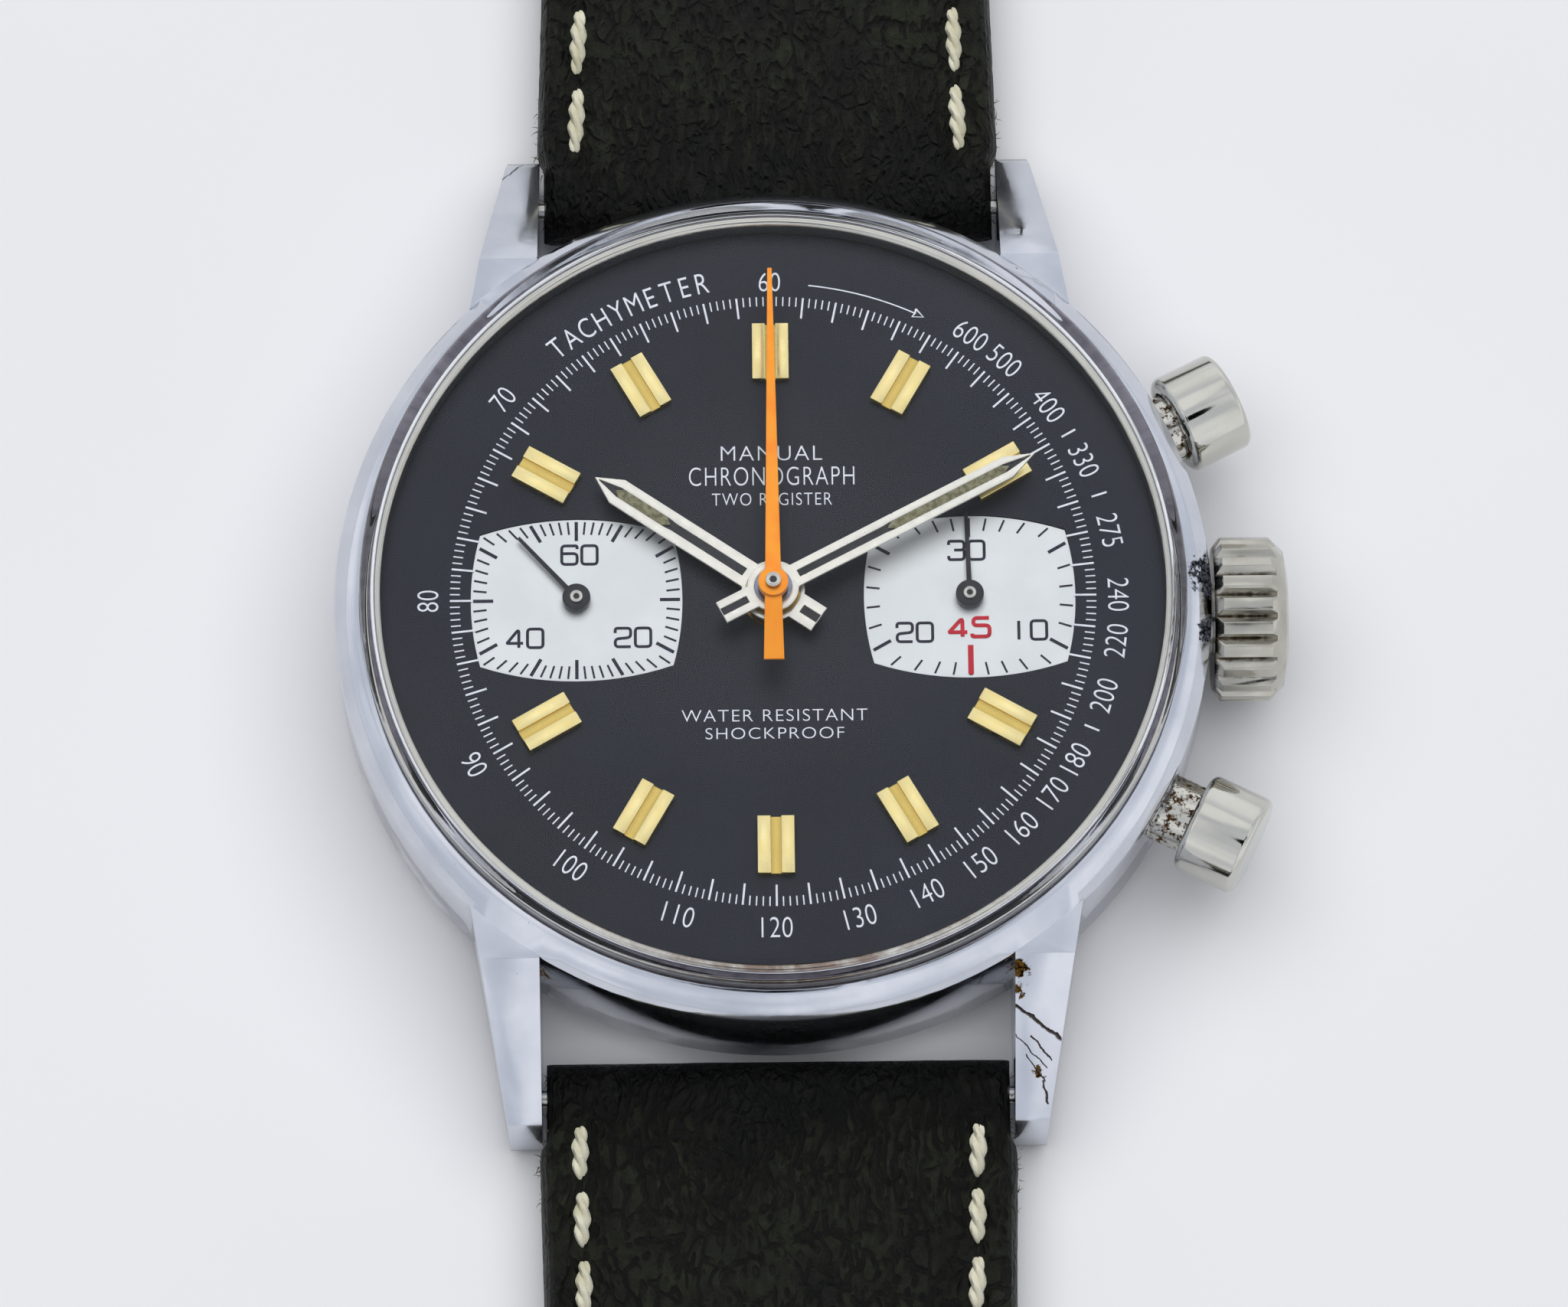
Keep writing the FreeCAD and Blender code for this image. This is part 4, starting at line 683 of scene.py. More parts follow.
def tickTree():
    # bars on rays from the centre, each with its outer end on the wall that the modifier's own mesh is
    tree, given = nodeGroup("printedTicks", {"Wall": "Geometry", "Count": "Int", "Major every": "Int",
            "Length": "Float", "Major length": "Float", "Width": "Float", "Major width": "Float",
            "Thickness": "Float", "Centre": "Vector", "Ink": "Material"})
    ring = addNode(tree, "GeometryNodeMeshCircle", {"Vertices": given["Count"], "Radius": 1.0 * mm})
    upright = addNode(tree, "GeometryNodeTransform", {"Geometry": ring, "Rotation": Euler((0, 0, math.pi / 2))})
    spot = addNode(tree, "GeometryNodeInputPosition")
    ray = addNode(tree, "GeometryNodeRaycast", {"Target Geometry": given["Wall"], "Source Position": (0, 0, 0),
            "Ray Direction": spot, "Ray Length": 0.05})
    placed = addNode(tree, "GeometryNodeSetPosition", {"Geometry": upright,
            "Position": ray.outputs["Hit Position"]})
    number = addNode(tree, "GeometryNodeInputIndex")
    remainder = addNode(tree, "FunctionNodeIntegerMath", [number, given["Major every"]], operation="MODULO")
    isMajor = addNode(tree, "FunctionNodeCompare", {"A": remainder, "B": 0}, data_type="INT", operation="EQUAL")
    isMinor = addNode(tree, "FunctionNodeBooleanMath", [isMajor], operation="NOT")
    facing = addNode(tree, "FunctionNodeAlignRotationToVector", {"Vector": spot}, axis="Y", pivot_axis="Z")
    joined = addNode(tree, "GeometryNodeJoinGeometry")
    for chosen, length, width in ((isMajor, "Major length", "Major width"), (isMinor, "Length", "Width")):
        size = addNode(tree, "CombineXYZ", [given[width], given[length], given["Thickness"]])
        bar = addNode(tree, "GeometryNodeMeshCube", {"Size": size})
        half = addNode(tree, "Math", [given[length], -0.5], operation="MULTIPLY")
        inward = addNode(tree, "CombineXYZ", {1: half})
        hung = addNode(tree, "GeometryNodeTransform", {"Geometry": bar, "Translation": inward})
        bars = addNode(tree, "GeometryNodeInstanceOnPoints", {"Points": placed, "Selection": chosen,
                "Instance": hung, "Rotation": facing})
        feed(joined, {0: bars})
    moved = addNode(tree, "GeometryNodeTransform", {"Geometry": joined, "Translation": given["Centre"]})
    return groupEnd(tree, moved, given["Ink"])


def runTree(base, tree, values):
    # a modifier's inputs are set by their sockets' identifiers before anything is evaluated
    modifier = base.modifiers.new("nodes", "NODES")
    modifier.node_group = tree
    names = {item.name: item.identifier for item in tree.interface.items_tree if item.in_out == "INPUT"}
    for key, value in values.items():
        modifier[names[key]] = value
    return evaluated(base)


def wall(outline):
    points = [(x * mm, y * mm, z * mm) for x, y in outline for z in (-0.1, 0.1)]
    count = len(outline)
    faces = [(2 * i, 2 * i + 1, (2 * i + 3) % (2 * count), (2 * i + 2) % (2 * count)) for i in range(count)]
    mesh = bpy.data.meshes.new("wall")
    mesh.from_pydata(points, [], faces)
    return looseObject("wall", mesh)


ticks = tickTree()
inkHalf = dialSize["inkThick"] / 2
registerInk = dialSize["registerFloor"] + dialSize["registerThick"] + inkHalf
tickRings = {
    "track_ticks": dict(outline=circle(dialSize["trackRadius"], 300), count=300, every=5, ink="whiteInk",
                        length=(dialSize["minorLength"], dialSize["majorLength"]), width=(0.055, 0.085),
                        centre=(0, 0, dialSize["top"] + inkHalf)),
    "seconds_ticks": dict(outline=registerOutline(0.13), count=60, every=5, ink="navyInk", length=(0.57, 0.86),
                          width=(0.085, 0.145), centre=(-dialSize["registerX"], 0, registerInk)),
    "minutes_ticks": dict(outline=registerOutline(0.13), count=30, every=5, ink="navyInk", length=(0.57, 0.86),
                          width=(0.085, 0.145), centre=(dialSize["registerX"], 0, registerInk)),
}
for name, look in tickRings.items():
    mesh = runTree(wall(look["outline"]), ticks, {"Count": look["count"], "Major every": look["every"],
            "Length": look["length"][0] * mm, "Major length": look["length"][1] * mm,
            "Width": look["width"][0] * mm, "Major width": look["width"][1] * mm,
            "Thickness": dialSize["inkThick"] * mm, "Centre": tuple(value * mm for value in look["centre"]),
            "Ink": paints[look["ink"]]})
    pieceFromMesh(name, mesh, None, "case")


class PrintSheet:
    # one colour of ink, gathered into one mesh
    def __init__(self):
        self.bm = bmesh.new()

    def add(self, mesh, place):
        mesh.transform(place)
        self.bm.from_mesh(mesh)
        bpy.data.meshes.remove(mesh)

    def piece(self, name, ink):
        return pieceFromMesh(name, written(self.bm, bpy.data.meshes.new(name)), ink, "case")


def setText(sheet, words, height, at, z, turn=0.0, width=None, squeeze=1.0, gap=1.0, weight=0.0):
    # letters centred on a point, as tall as height and as wide as width where one is given
    curve = bpy.data.curves.new("words", "FONT")
    curve.body = words
    curve.size = 1.0
    curve.space_character = gap
    curve.offset = weight
    curve.extrude = 0.01
    mesh = evaluated(looseObject("words", curve))
    xs = [v.co.x for v in mesh.vertices]
    ys = [v.co.y for v in mesh.vertices]
    middle = Vector(((min(xs) + max(xs)) / 2, (min(ys) + max(ys)) / 2, 0))
    tall = height * mm / (max(ys) - min(ys))
    wide = width * mm / (max(xs) - min(xs)) if width else tall * squeeze
    mesh.transform(Matrix.Translation(-middle))
    mesh.transform(Matrix.Diagonal((wide, tall, dialSize["inkThick"] * mm / 0.02, 1)))
    turned = Matrix.Rotation(math.radians(turn), 4, "Z")
    sheet.add(mesh, Matrix.Translation((at[0] * mm, at[1] * mm, z * mm)) @ turned)


def rounded(points, radius):
    # a line of straight runs with its inner corners turned on arcs
    out = [points[0]]
    for a, b, c in zip(points, points[1:], points[2:]):
        a, b, c = Vector(a), Vector(b), Vector(c)
        before, after = (a - b), (c - b)
        reach = min(radius, before.length / 2, after.length / 2)
        start, end = b + before.normalized() * reach, b + after.normalized() * reach
        for i in range(5):
            t = i / 4
            out.append(tuple(start * (1 - t) ** 2 + b * 2 * t * (1 - t) + end * t * t))
    return out + [points[-1]]


def drawStroke(sheet, points, width, z):
    curve = bpy.data.curves.new("stroke", "CURVE")
    curve.dimensions = "3D"
    curve.bevel_depth = width / 2 * mm
    curve.bevel_resolution = 2
    curve.use_fill_caps = True
    addLine(curve, [(x, y, 0) for x, y in points])
    mesh = evaluated(looseObject("stroke", curve))
    flat = Matrix.Diagonal((1, 1, dialSize["inkThick"] / width, 1))
    sheet.add(mesh, Matrix.Translation((0, 0, z * mm)) @ flat)


# wide square figures, drawn in a box one unit wide and one high
squareFigures = {
    "0": [[(0.5, 0), (0, 0), (0, 1), (1, 1), (1, 0), (0.5, 0)]],
    "1": [[(0.5, 0), (0.5, 1)]],
    "2": [[(0, 0.74), (0, 1), (1, 1), (1, 0.5), (0, 0.42), (0, 0), (1, 0)]],
    "3": [[(0, 0.8), (0, 1), (1, 1), (1, 0.52), (0.35, 0.52)], [(0.9, 0.52), (1, 0.5), (1, 0), (0, 0), (0, 0.2)]],
    "4": [[(0.74, 0), (0.74, 1), (0, 0.27), (0, 0.24), (1.02, 0.24)]],
    "5": [[(0.98, 1), (0.08, 1), (0.06, 0.6), (1, 0.6), (1, 0), (0, 0), (0, 0.16)]],
    "6": [[(1, 0.82), (1, 1), (0, 1), (0, 0), (1, 0), (1, 0.58), (0.04, 0.58)]],
}


def setSquareFigures(sheet, number, at, size, stroke, z):
    width, height = size
    gap = 0.3 * width
    step = width + gap
    left = at[0] - (len(number) * step - gap) / 2
    for i, figure in enumerate(number):
        for line in squareFigures[figure]:
            points = [(left + i * step + x * width, at[1] + (y - 0.5) * height) for x, y in line]
            drawStroke(sheet, rounded(points, 0.24 * width), stroke, z)


white, navy, red = PrintSheet(), PrintSheet(), PrintSheet()
dialInk = dialSize["top"] + inkHalf
outward = {600: 36, 500: 43.2, 400: 54, 330: 65.45, 275: 78.55, 240: 90, 80: 270, 70: 308.57}
for value in (600, 500, 400, 330, 275, 240, 220, 200, 180, 170, 160, 150, 140, 130, 120, 110, 100, 90, 80, 70):
    compass = 21600 / value % 360
    turn = -compass if value in outward else 180 - compass
    setText(white, str(value), dialSize["figureHeight"], polar(dialSize["figureRadius"], compass), dialInk,
            turn=turn, squeeze=0.78, gap=1.02, weight=-0.012)
setText(white, "60", 0.86, polar(14.5, 0), dialInk, squeeze=0.8, weight=-0.012)
for i, letter in enumerate("TACHYMETER"):
    compass = 321.4 + 3.02 * i
    setText(white, letter, 0.92, polar(14.75, compass), dialInk, turn=-compass, squeeze=0.74, weight=-0.008)
for compass in (60, 72, 114):
    drawStroke(white, [polar(14.42, compass), polar(15.1, compass)], 0.09, dialInk)
drawStroke(white, [polar(14.42, 6.7 + i) for i in range(20)], 0.06, dialInk)
arrowTip, arrowBack = polar(14.42, 27.4), 25.6
drawStroke(white, [polar(14.62, arrowBack), arrowTip, polar(14.22, arrowBack), polar(14.42, arrowBack + 0.2),
        polar(14.62, arrowBack)], 0.08, dialInk)
wording = [("MANUAL", 6.6, 4.35, 0.66), ("CHRONOGRAPH", 5.55, 7.1, 0.84), ("TWO REGISTER", 4.5, 5.15, 0.56),
        ("WATER RESISTANT", -5.3, 7.9, 0.53), ("SHOCKPROOF", -6.1, 5.9, 0.5)]
for words, y, width, height in wording:
    setText(white, words, height, (0.0, y), dialInk, width=width, gap=1.12, weight=-0.014)
figureSize = (0.66, 0.84)
for number, x, y in (("60", -8.27, 2.06), ("20", -6.0, -1.7), ("40", -10.6, -1.7), ("30", 8.3, 2.1), ("10", 10.9,
        -1.55), ("20", 6.03, -1.6)):
    setSquareFigures(navy, number, (x, y), figureSize, 0.13, registerInk)
setSquareFigures(red, "45", (8.37, -1.4), (0.74, 0.84), 0.17, registerInk + 0.01)
drawStroke(red, [(8.4, -3.52), (8.4, -2.2)], 0.24, registerInk + 0.01)
white.piece("dial_print_white", paints["whiteInk"])
navy.piece("dial_print_navy", paints["navyInk"])
red.piece("dial_print_red", paints["redInk"])
print("dial printed")


handLooks = {
    # sizes in mm; lume is where the luminous fill starts, slot and fill are half widths
    "hour_hand": dict(body="hour_train", z=8.85, compass=304.6, length=9.2, half=0.61, tail=2.35, hub=1.35,
                      bore=1.15, point=1.15, slot=0.19, fill=0.23, lume=5.5),
    "minute_hand": dict(body="minute_train", z=9.35, compass=62.2, length=12.74, half=0.51, tail=2.5, hub=1.1,
                        bore=0.8, point=1.35, slot=0.16, fill=0.19, lume=5.75),
}


def railHand(name, look):
    half, hub, length, tail = look["half"], look["hub"], look["length"], look["tail"]
    level = math.sqrt(hub ** 2 - half ** 2)
    spread = math.asin(half / hub)
    right = [(hub * math.sin(a), hub * math.cos(a)) for a in (spread + (math.pi - 2 * spread) * i / 16
            for i in range(17))]
    left = [(-x, y) for x, y in reversed(right)]
    shoulder = length - look["point"]
    outline = [(0, length), (half, shoulder), (half, level), *right[1:-1], (half, -level), (half, -tail), (-half,
            -tail), (-half, -level), *left[1:-1], (-half, level), (-half, shoulder)]
    slot, fill = look["slot"], look["fill"]
    start = hub + 0.12
    channel = [(-slot, start), (slot, start), (slot, look["lume"] - 0.35), (fill, look["lume"]), (fill,
            shoulder - 0.1), (0.02, length - 0.22), (-0.02, length - 0.22), (-fill, shoulder - 0.1), (-fill,
            look["lume"]), (-slot, look["lume"] - 0.35)]
    heel = [(-slot, -tail + 0.03), (slot, -tail + 0.03), (slot, -start), (-slot, -start)]
    z = look["z"]
    thick = 0.15
    turn = Matrix.Rotation(-math.radians(look["compass"]), 4, "Z")
    rails = cutPlate([outline, channel, heel, circle(look["bore"] + 0.005, 48)], z, z + thick, 0.022)
    rails.transform(turn)
    piece = pieceFromMesh(name + "_rails", rails, metals["nickelHand"], look["body"])
    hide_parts(name)
    inset = 0.03
    floor = cutPlate([[(-slot - inset, start - inset), (slot + inset, start - inset), (fill + inset, look["lume"]),
            (fill + inset, shoulder), (0, length - 0.3), (-fill - inset, shoulder), (-fill - inset, look["lume"])]],
            z + 0.012, z + 0.07)
    heelFloor = cutPlate([[(x * 1.3, y) for x, y in heel]], z + 0.012, z + 0.07)
    for mesh, part in ((floor, "_floor"), (heelFloor, "_heel_floor")):
        mesh.transform(turn)
        pieceFromMesh(name + part, mesh, paints["blackHand"], look["body"])
    lume = cutPlate([[(0, look["lume"] - 0.2), (fill, look["lume"] + 0.1), (fill, shoulder - 0.25), (0, shoulder
            + 0.1), (-fill, shoulder - 0.25), (-fill, look["lume"] + 0.1)]], z + 0.07, z + thick - 0.015, 0.01)
    lume.transform(turn)
    pieceFromMesh(name + "_lume", lume, paints["agedLume"], look["body"])


for name, look in handLooks.items():
    railHand(name, look)
hubLooks = {
    # body, centre x, height, outer and inner radius of the riveted tube, with its dark bore
    "seconds_hub": ("seconds_train", -8.4, 8.46, 0.27, 0.13),
    "minutes_hub": ("minute_counter", 8.4, 8.46, 0.27, 0.13),
    "chronograph_hub": ("chronograph_train", 0.0, 10.35, 0.33, 0.15),
}
for name, (body, x, z, outer, inner) in hubLooks.items():
    collar = cutPlate([circle(outer, at=(x, 0)), circle(inner, at=(x, 0))], z, z + 0.05, 0.012)
    pieceFromMesh(name + "_collar", collar, metals["polishedSteel"], body)
    # painted shade: a thin black disc sits in the tube's bore, standing in for the shade inside it
    bore = cutPlate([circle(inner + 0.02, at=(x, 0))], z, z + 0.012)
    pieceFromMesh(name + "_bore", bore, paints["blackHand"], body)
print("hands made")


strapLook = {
    "barY": 20.4, "barZ": 1.9, "barRound": 1.5, "edge": 0.5, "stitchIn": 1.75, "groove": 0.16, "grooveWide": 0.42,
    "across": 46, "fineStep": 0.35, "coarseStep": 0.8, "fineUntil": 33.0,
    # the tang holes and the tang slot, with the height and depth of their cuts
    "holes": 7, "firstHole": 88.4, "holePitch": 6.5, "holeRadius": 1.0, "slotY": 92.9, "slotWide": 3.2,
    "slotLong": 7.0, "cutZ": 2.05, "cutDeep": 6,
    "thick": [(20.4, 0.4, 3.4), (28.4, 0.4, 3.4), (60.4, 0.95, 3.15), (140.0, 0.95, 3.15)],
}
strapHalves = {
    "strap_buckle_side": dict(side=1, end=94.5, endRound=(93.4, 2.05, 1.1), stitchFrom=22.6, stitchTo=81.0,
                              pitch=3.7, stitch=3.25,
                              half=[(18.9, 9.9), (22.4, 9.9), (22.95, 10.2), (71.4, 8.9), (94.5, 8.9)]),
    "strap_hole_side": dict(side=-1, end=135.4, endRound=None, stitchFrom=21.9, stitchTo=126.0, pitch=2.9,
                            stitch=2.5,
                            half=[(18.9, 9.9), (22.4, 9.9), (22.95, 10.2), (113.4, 8.0), (126.4, 8.0),
                                  (129.6, 7.3), (132.4, 5.75), (134.4, 3.4), (135.4, 1.6)]),
}


def between(table, y):
    # straight-line interpolation down the first column
    if y <= table[0][0]:
        return table[0][1:]
    for low, high in zip(table, table[1:]):
        if y <= high[0]:
            t = (y - low[0]) / (high[0] - low[0])
            return [a + (b - a) * t for a, b in zip(low[1:], high[1:])]
    return table[-1][1:]


def strapLevels(y, half):
    low, high = between(strapLook["thick"], y)
    rounds = [(strapLook["barY"], strapLook["barZ"], strapLook["barRound"], -1)]
    if half["endRound"]:
        rounds.append((*half["endRound"], 1))
    for centre, level, radius, way in rounds:
        if (y - centre) * way > 0:
            reach = math.sqrt(max(radius ** 2 - (y - centre) ** 2, 0.0004))
            low, high = level - reach, level + reach
    return low, high


def strapRing(y, half):
    # one cross-section: over the top from the left edge to the right, and back underneath
    look = strapLook
    low, high = strapLevels(y, half)
    width = between(half["half"], y)[0]
    edge = min(look["edge"], (high - low) / 2.02)
    side = half["side"]
    points = []
    for way, seed in ((1, 3.0), (-1, 7.0)):
        for i in range(look["across"] + 1):
            x = way * (-width + edge + (2 * width - 2 * edge) * i / look["across"])
            seam = abs(abs(x) - (width - look["stitchIn"]))
            dip = look["groove"] * math.exp(-(seam / look["grooveWide"]) ** 2)
            if way > 0:
                sewn = 1.0 if half["stitchFrom"] - 0.6 < y < half["stitchTo"] + 0.4 else 0.0
                swell = 0.07 * noise.noise(Vector((x * 0.3, y * 0.3 * side, 0.0)))
                creased = 0.035 * noise.noise(Vector((x * 1.6, y * 0.55 * side, 5.0)))
                rise = 0.05 * (1 - (x / width) ** 2)
                points.append((x, y, high - 0.08 - dip * sewn + swell + creased + rise))
            else:
                rough = 0.02 * noise.noise(Vector((x * 0.5, y * 0.5 * side, 9.0)))
                points.append((x, y, low + 0.03 + 0.6 * dip + rough))
        for i in range(1, 8):
            angle = math.pi * i / 8
            bulge = edge + 0.03 * noise.noise(Vector((seed, y * 2.2 * side, i * 0.7))) - 0.02
            points.append((way * (width - edge + bulge * math.sin(angle)), y,
                    (low + high) / 2 + way * ((high - low) / 2 - 0.08) * math.cos(angle)))
    return [(x, y * side, z) for x, y, z in points]


def strapCutter(name, half):
    # tang holes on one half, the tang slot on the other
    look = strapLook
    bm = bmesh.new()
    if half["side"] < 0:
        radius = look["holeRadius"] * mm
        for i in range(look["holes"]):
            y = -(look["firstHole"] + look["holePitch"] * i) * mm
            bmesh.ops.create_cone(bm, cap_ends=True, segments=28, radius1=radius, radius2=radius,
                    depth=look["cutDeep"] * mm, matrix=Matrix.Translation((0, y, look["cutZ"] * mm)))
    else:
        size = Matrix.Diagonal((look["slotWide"] * mm, look["slotLong"] * mm, look["cutDeep"] * mm, 1))
        bmesh.ops.create_cube(bm, size=1.0, matrix=Matrix.Translation((0, look["slotY"] * mm, look["cutZ"] * mm))
                @ size)
    mesh = written(bm, bpy.data.meshes.new(name + "_cutter"), outwards=False)
    return looseObject(name + "_cutter", mesh)


def strapPiece(name, half):
    look = strapLook
    stations = []
    for i in range(9):
        stations.append(look["barY"] - look["barRound"] * math.cos(math.pi / 2 * i / 9) * 0.995)
    y = look["barY"]
    last = half["endRound"][0] if half["endRound"] else half["end"]
    while y < last:
        stations.append(y)
        y += look["fineStep"] if y < look["fineUntil"] else look["coarseStep"]
    if half["endRound"]:
        centre, _, radius = half["endRound"]
        stations += [centre + radius * math.sin(math.pi / 2 * i / 9) * 0.995 for i in range(10)]
    else:
        stations.append(half["end"])
    rings = [strapRing(station, half) for station in stations]
    count = len(rings[0])
    points = [Vector(p) * mm for ring in rings for p in ring]
    faces = [(r * count + i, r * count + (i + 1) % count, (r + 1) * count + (i + 1) % count, (r + 1) * count + i)
            for r in range(len(rings) - 1) for i in range(count)]
    faces += [tuple(range(count)), tuple(reversed(range((len(rings) - 1) * count, len(rings) * count)))]
    mesh = bpy.data.meshes.new(name)
    mesh.from_pydata(points, [], faces)
    bm = bmesh.new()
    bm.from_mesh(mesh)
    obj = looseObject(name + "_hide", written(bm, mesh))
    cutter = strapCutter(name, half)
    cut = obj.modifiers.new("holes", "BOOLEAN")
    cut.object = cutter
    cut.operation = "DIFFERENCE"
    cut.solver = "EXACT"
    done = evaluated(obj)
    bpy.data.objects.remove(cutter)
    piece = pieceFromMesh(name + "_hide", done, leather, name, smoothAngle=50)
    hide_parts(name)


threadLook = {"radius": 0.37, "strands": 3, "turns": 0.9, "rings": 14, "sides": 6}


def threadMesh(length):
    # three twisted strands along y that thin out and dive at both ends
    look = threadLook
    bm = bmesh.new()
    for strand in range(look["strands"]):
        rings = []
        for r in range(look["rings"] + 1):
            t = r / look["rings"]
            taper = math.sin(math.pi * min(max(t, 0.01), 0.99)) ** 0.3
            turn = 2 * math.pi * (strand / look["strands"] + look["turns"] * t * length / 2.4)
            offset = 0.5 * look["radius"] * taper
            centre = Vector((offset * math.cos(turn), (t - 0.5) * length,
                    offset * math.sin(turn) - 0.35 * (1 - taper)))
            thick = 0.56 * look["radius"] * taper
            rings.append([centre + Vector((thick * math.cos(a), 0, thick * math.sin(a)))
                    for a in (2 * math.pi * k / look["sides"] for k in range(look["sides"]))])
        skin(bm, rings)
    return looseObject("thread", written(bm, bpy.data.meshes.new("thread")))


def stitchTree():
    # one stitch at every pitch along each seam line, lying along it
    tree, given = nodeGroup("saddleStitch", {"Seams": "Geometry", "Stitch": "Object", "Pitch": "Float",
            "Thread": "Material"})
    spots = addNode(tree, "GeometryNodeCurveToPoints", {"Curve": given["Seams"], "Length": given["Pitch"]},
            mode="LENGTH")
    lay = addNode(tree, "FunctionNodeAlignRotationToVector", {"Vector": spots.outputs["Tangent"]}, axis="Y",
            pivot_axis="Z")
    model = addNode(tree, "GeometryNodeObjectInfo", {"Object": given["Stitch"]})
    sway = addNode(tree, "FunctionNodeRandomValue", {"Min": (-0.06, -0.02, -0.05), "Max": (0.06, 0.02, 0.05),
            "Seed": 7}, data_type="FLOAT_VECTOR")
    swayed = addNode(tree, "FunctionNodeRotateRotation", {"Rotation": lay, "Rotate By": sway},
            rotation_space="LOCAL")
    sewn = addNode(tree, "GeometryNodeInstanceOnPoints", {"Points": spots, "Instance": model.outputs["Geometry"],
            "Rotation": swayed})
    return groupEnd(tree, sewn, given["Thread"])


saddle = stitchTree()


def seamLines(name, half, underside):
    # the two seams of one half, a little into the leather
    curve = bpy.data.curves.new(name + "_seams", "CURVE")
    curve.dimensions = "3D"
    for way in (-1, 1):
        first = half["stitchFrom"] + half["stitch"] / 2
        stops = [y for y in (first, 28.4, 60.4, 71.4, 113.4) if first <= y < half["stitchTo"]] + [half["stitchTo"]]
        line = []
        for y in stops:
            low, high = strapLevels(y, half)
            width = between(half["half"], y)[0] - strapLook["stitchIn"]
            line.append((way * width, y * half["side"], low + 0.14 if underside else high - 0.16))
        addLine(curve, line)
    return looseObject(name + "_seams", curve)


for name, half in strapHalves.items():
    strapPiece(name, half)
    thread = threadMesh(half["stitch"])
    for underside, part in ((False, "_stitches"), (True, "_stitches_under")):
        mesh = runTree(seamLines(name, half, underside), saddle, {"Stitch": thread, "Pitch": half["pitch"] * mm,
                "Thread": paints["linenThread"]})
        pieceFromMesh(name + part, mesh, None, name, smoothAngle=60)
    bpy.data.objects.remove(thread)


frayLook = {"from": 19.6, "to": 25.5, "count": 38, "length": 0.4, "thick": 0.03, "seed": 11}


def frayMesh():
    # one stiff fibre of suede, bent outwards
    bm = bmesh.new()
    rings = []
    for r in range(5):
        t = r / 4
        centre = Vector((t, 0.25 * t * t, 0.2 * t - 0.3 * t * t)) * frayLook["length"]
        thick = frayLook["thick"] * (1.15 - t)
        rings.append([centre + Vector((0, thick * math.cos(a), thick * math.sin(a))) for a in (2 * math.pi * k / 4
                for k in range(4))])
    skin(bm, rings)
    return looseObject("fray", written(bm, bpy.data.meshes.new("fray")))


def frayTree():
    # fibres at random along the edge lines, each turned and sized at random
    tree, given = nodeGroup("frayedEdge", {"Edges": "Geometry", "Fibre": "Object", "Count": "Int",
            "Suede": "Material"})
    spots = addNode(tree, "GeometryNodeCurveToPoints", {"Curve": given["Edges"], "Count": given["Count"]},
            mode="COUNT")
    jog = addNode(tree, "FunctionNodeRandomValue", {"Min": (-0.0001, -0.0002, -0.0013), "Max": (0.0001, 0.0002,
            0.0002), "Seed": frayLook["seed"]}, data_type="FLOAT_VECTOR")
    jogged = addNode(tree, "GeometryNodeSetPosition", {"Geometry": spots, "Offset": jog})
    where = addNode(tree, "GeometryNodeInputPosition")
    side = addNode(tree, "SeparateXYZ", [where])
    way = addNode(tree, "Math", [side.outputs["X"]], operation="SIGN")
    half = addNode(tree, "MapRange", [way, -1.0, 1.0, math.pi, 0.0])
    spin = addNode(tree, "FunctionNodeRandomValue", {2: -1.4, 3: 1.4, "Seed": frayLook["seed"] + 1})
    yaw = addNode(tree, "Math", [half, spin], operation="ADD")
    tip = addNode(tree, "FunctionNodeRandomValue", {2: -0.7, 3: 0.5, "Seed": frayLook["seed"] + 2})
    turned = addNode(tree, "CombineXYZ", {"Y": tip, "Z": yaw})
    size = addNode(tree, "FunctionNodeRandomValue", {2: 0.15, 3: 1.0, "Seed": frayLook["seed"] + 3})
    model = addNode(tree, "GeometryNodeObjectInfo", {"Object": given["Fibre"]})
    grown = addNode(tree, "GeometryNodeInstanceOnPoints", {"Points": jogged, "Instance": model.outputs["Geometry"],
            "Rotation": turned, "Scale": size})
    return groupEnd(tree, grown, given["Suede"])


def edgeLines(name, half):
    # the upper corners of the strap's sides between the lugs
    curve = bpy.data.curves.new(name + "_edges", "CURVE")
    curve.dimensions = "3D"
    for way in (-1, 1):
        addLine(curve, [(way * (between(half["half"], y)[0] - 0.06), y * half["side"], strapLevels(y,
                half)[1] - 0.45) for y in (frayLook["from"], 22.4, 22.95, frayLook["to"])])
    return looseObject(name + "_edges", curve)


frayGrowth = frayTree()
for name, half in strapHalves.items():
    fibre = frayMesh()
    mesh = runTree(edgeLines(name, half), frayGrowth, {"Fibre": fibre, "Count": frayLook["count"],
            "Suede": paints["frayedSuede"]})
    pieceFromMesh(name + "_fray", mesh, None, name, smoothAngle=60)
    bpy.data.objects.remove(fibre)
print("strap made")


shot = {"azimuth": -1.1827, "elevation": 70.7031, "roll": 0.5382, "distance": 380.0, "lens": 204.23, "aim": (0, 0,
        8.6), "shift": (-0.4626, 2.548)}


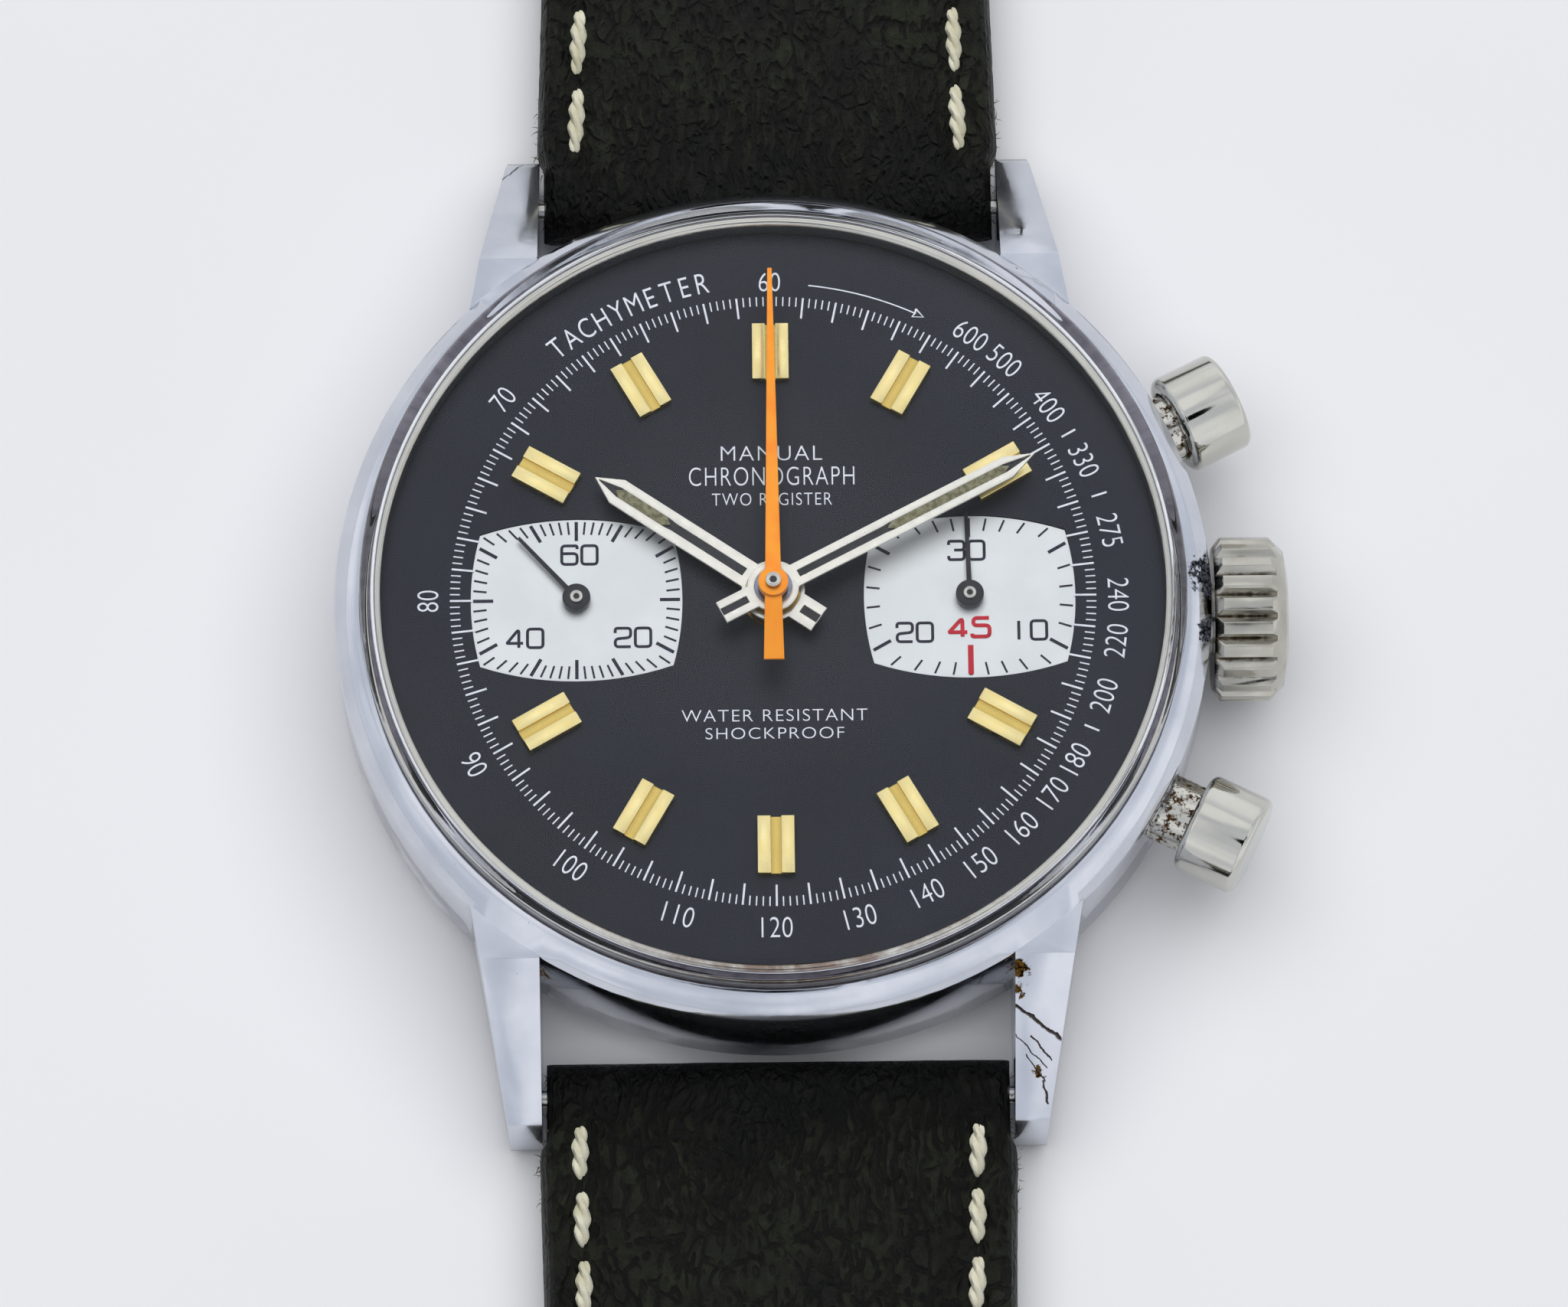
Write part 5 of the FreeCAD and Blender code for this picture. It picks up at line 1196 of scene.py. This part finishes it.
def addCamera():
    a, e, r = (math.radians(shot[key]) for key in ("azimuth", "elevation", "roll"))
    back = Vector((math.sin(a) * math.cos(e), -math.cos(a) * math.cos(e), math.sin(e)))
    flatRight = Vector((0, 0, 1)).cross(back).normalized()
    flatUp = back.cross(flatRight)
    right = flatRight * math.cos(r) + flatUp * math.sin(r)
    up = flatUp * math.cos(r) - flatRight * math.sin(r)
    place = (Vector(shot["aim"]) + back * shot["distance"] - right * shot["shift"][0] - up * shot["shift"][1]) * mm
    camera = looseObject("camera", bpy.data.cameras.new("camera"))
    camera.data.lens = shot["lens"]
    camera.data.sensor_width = 36.0
    camera.data.clip_start = 0.01
    camera.data.clip_end = 20.0
    camera.matrix_world = Matrix((right, up, back)).transposed().to_4x4()
    camera.matrix_world.translation = place
    scene.camera = camera


def addFloor():
    size = 3.0
    mesh = bpy.data.meshes.new("floor")
    mesh.from_pydata([(-size, -size, 0), (size, -size, 0), (size, size, 0), (-size, size, 0)], [], [(0, 1, 2, 3)])
    floor = looseObject("floor", mesh)
    floor.location.z = -0.00002
    material, tree, shader, place = principled("tableLaminate", "#dcdde0", 0.75)
    paper = addNode(tree, "TexNoise", {"Vector": place, "Scale": 30.0, "Detail": 4.0})
    tone = addNode(tree, "Mix", {0: paper, 6: "#dfe0e4", 7: "#dadbdd"})
    feed(shader, {"Base Color": tone})
    mesh.materials.append(material)
    return floor


def addLamp(name, look):
    light = bpy.data.lights.new(name, "AREA")
    light.shape = "DISK"
    light.size = look["size"]
    light.energy = look["power"]
    lamp = looseObject(name, light)
    x, y = polar(math.cos(math.radians(look["elevation"])) * look["distance"], look["compass"])
    lamp.location = (x, y, math.sin(math.radians(look["elevation"])) * look["distance"])
    lamp.rotation_euler = (-lamp.location).to_track_quat("-Z", "Y").to_euler()
    lamp.visible_glossy = False       # the polished metal and the crystal see the tent instead
    lamp.visible_transmission = False
    return lamp


def lightOnly(lamp, objects, state):
    # the lamp lights just these objects, or all but these
    chosen = bpy.data.collections.new(lamp.name + "_lit")
    for obj in objects:
        chosen.objects.link(obj)
    lamp.light_linking.receiver_collection = chosen
    for item in chosen.collection_objects:
        item.light_linking.link_state = state


lampLooks = {
    # the key draws the soft shadows of the hands, the softbox lights the table
    "keyLamp": dict(compass=2, elevation=68, distance=0.6, size=0.5, power=3.4),
    "softBox": dict(compass=0, elevation=84, distance=0.9, size=1.6, power=13.2),
}
tentLook = {
    # sRGB colours of the cloth, of the opening above and of the lens; directions, and the cosines they span
    "cloth": "#f3f4f8", "shade": "#cdd1d9", "opening": "#f6f7fa", "lens": "#08080a",
    "gap": "#050506", "gapWay": (0.27, -0.19, 0.944), "gapSpan": (0.9945, 0.9965),
    "openingWay": (0.0, 0.33, 0.944), "openingSpan": (0.955, 0.99), "lensWay": (-0.007, -0.33, 0.944),
    "lensSpan": (0.9885, 0.9915), "shine": 1.15, "matt": 0.26,
}


def addTent():
    # a white tent all round, with a dark opening overhead and the lens of the camera;
    # matt surfaces get less of it than polished ones, so that the lamps still draw shadows
    look = tentLook
    world = bpy.data.worlds.new("tent")
    world.use_nodes = True
    scene.world = world
    tree = world.node_tree
    sky = tree.nodes["Background"]
    way = addNode(tree, "TexCoord").outputs["Generated"]
    folds = addNode(tree, "TexNoise", {"Vector": way, "Scale": 1.6, "Detail": 2.0})
    fold = addNode(tree, "MapRange", [folds, 0.38, 0.62])
    colour = addNode(tree, "Mix", {0: fold, 6: look["shade"], 7: look["cloth"]})
    for spot in ("opening", "lens", "gap"):
        facing = addNode(tree, "VectorMath", [way, Vector(look[spot + "Way"]).normalized()],
                operation="DOT_PRODUCT")
        low, high = look[spot + "Span"]
        hole = addNode(tree, "MapRange", [facing, low, high], interpolation_type="SMOOTHSTEP")
        colour = addNode(tree, "Mix", {0: hole, 6: colour, 7: look[spot]})
    feed(sky, {"Color": colour})
    rays = addNode(tree, "LightPath")
    power = addNode(tree, "MapRange", [rays.outputs["Is Diffuse Ray"], 0.0, 1.0, look["shine"], look["matt"]])
    feed(sky, {"Strength": power})


addCamera()
table = addFloor()
key, soft = (addLamp(name, look) for name, look in lampLooks.items())
lightOnly(key, [table], "EXCLUDE")
lightOnly(soft, [table], "INCLUDE")
addTent()
scene.view_settings.view_transform = "Standard"
scene.view_settings.look = "None"
print("camera, lamp and tent set")
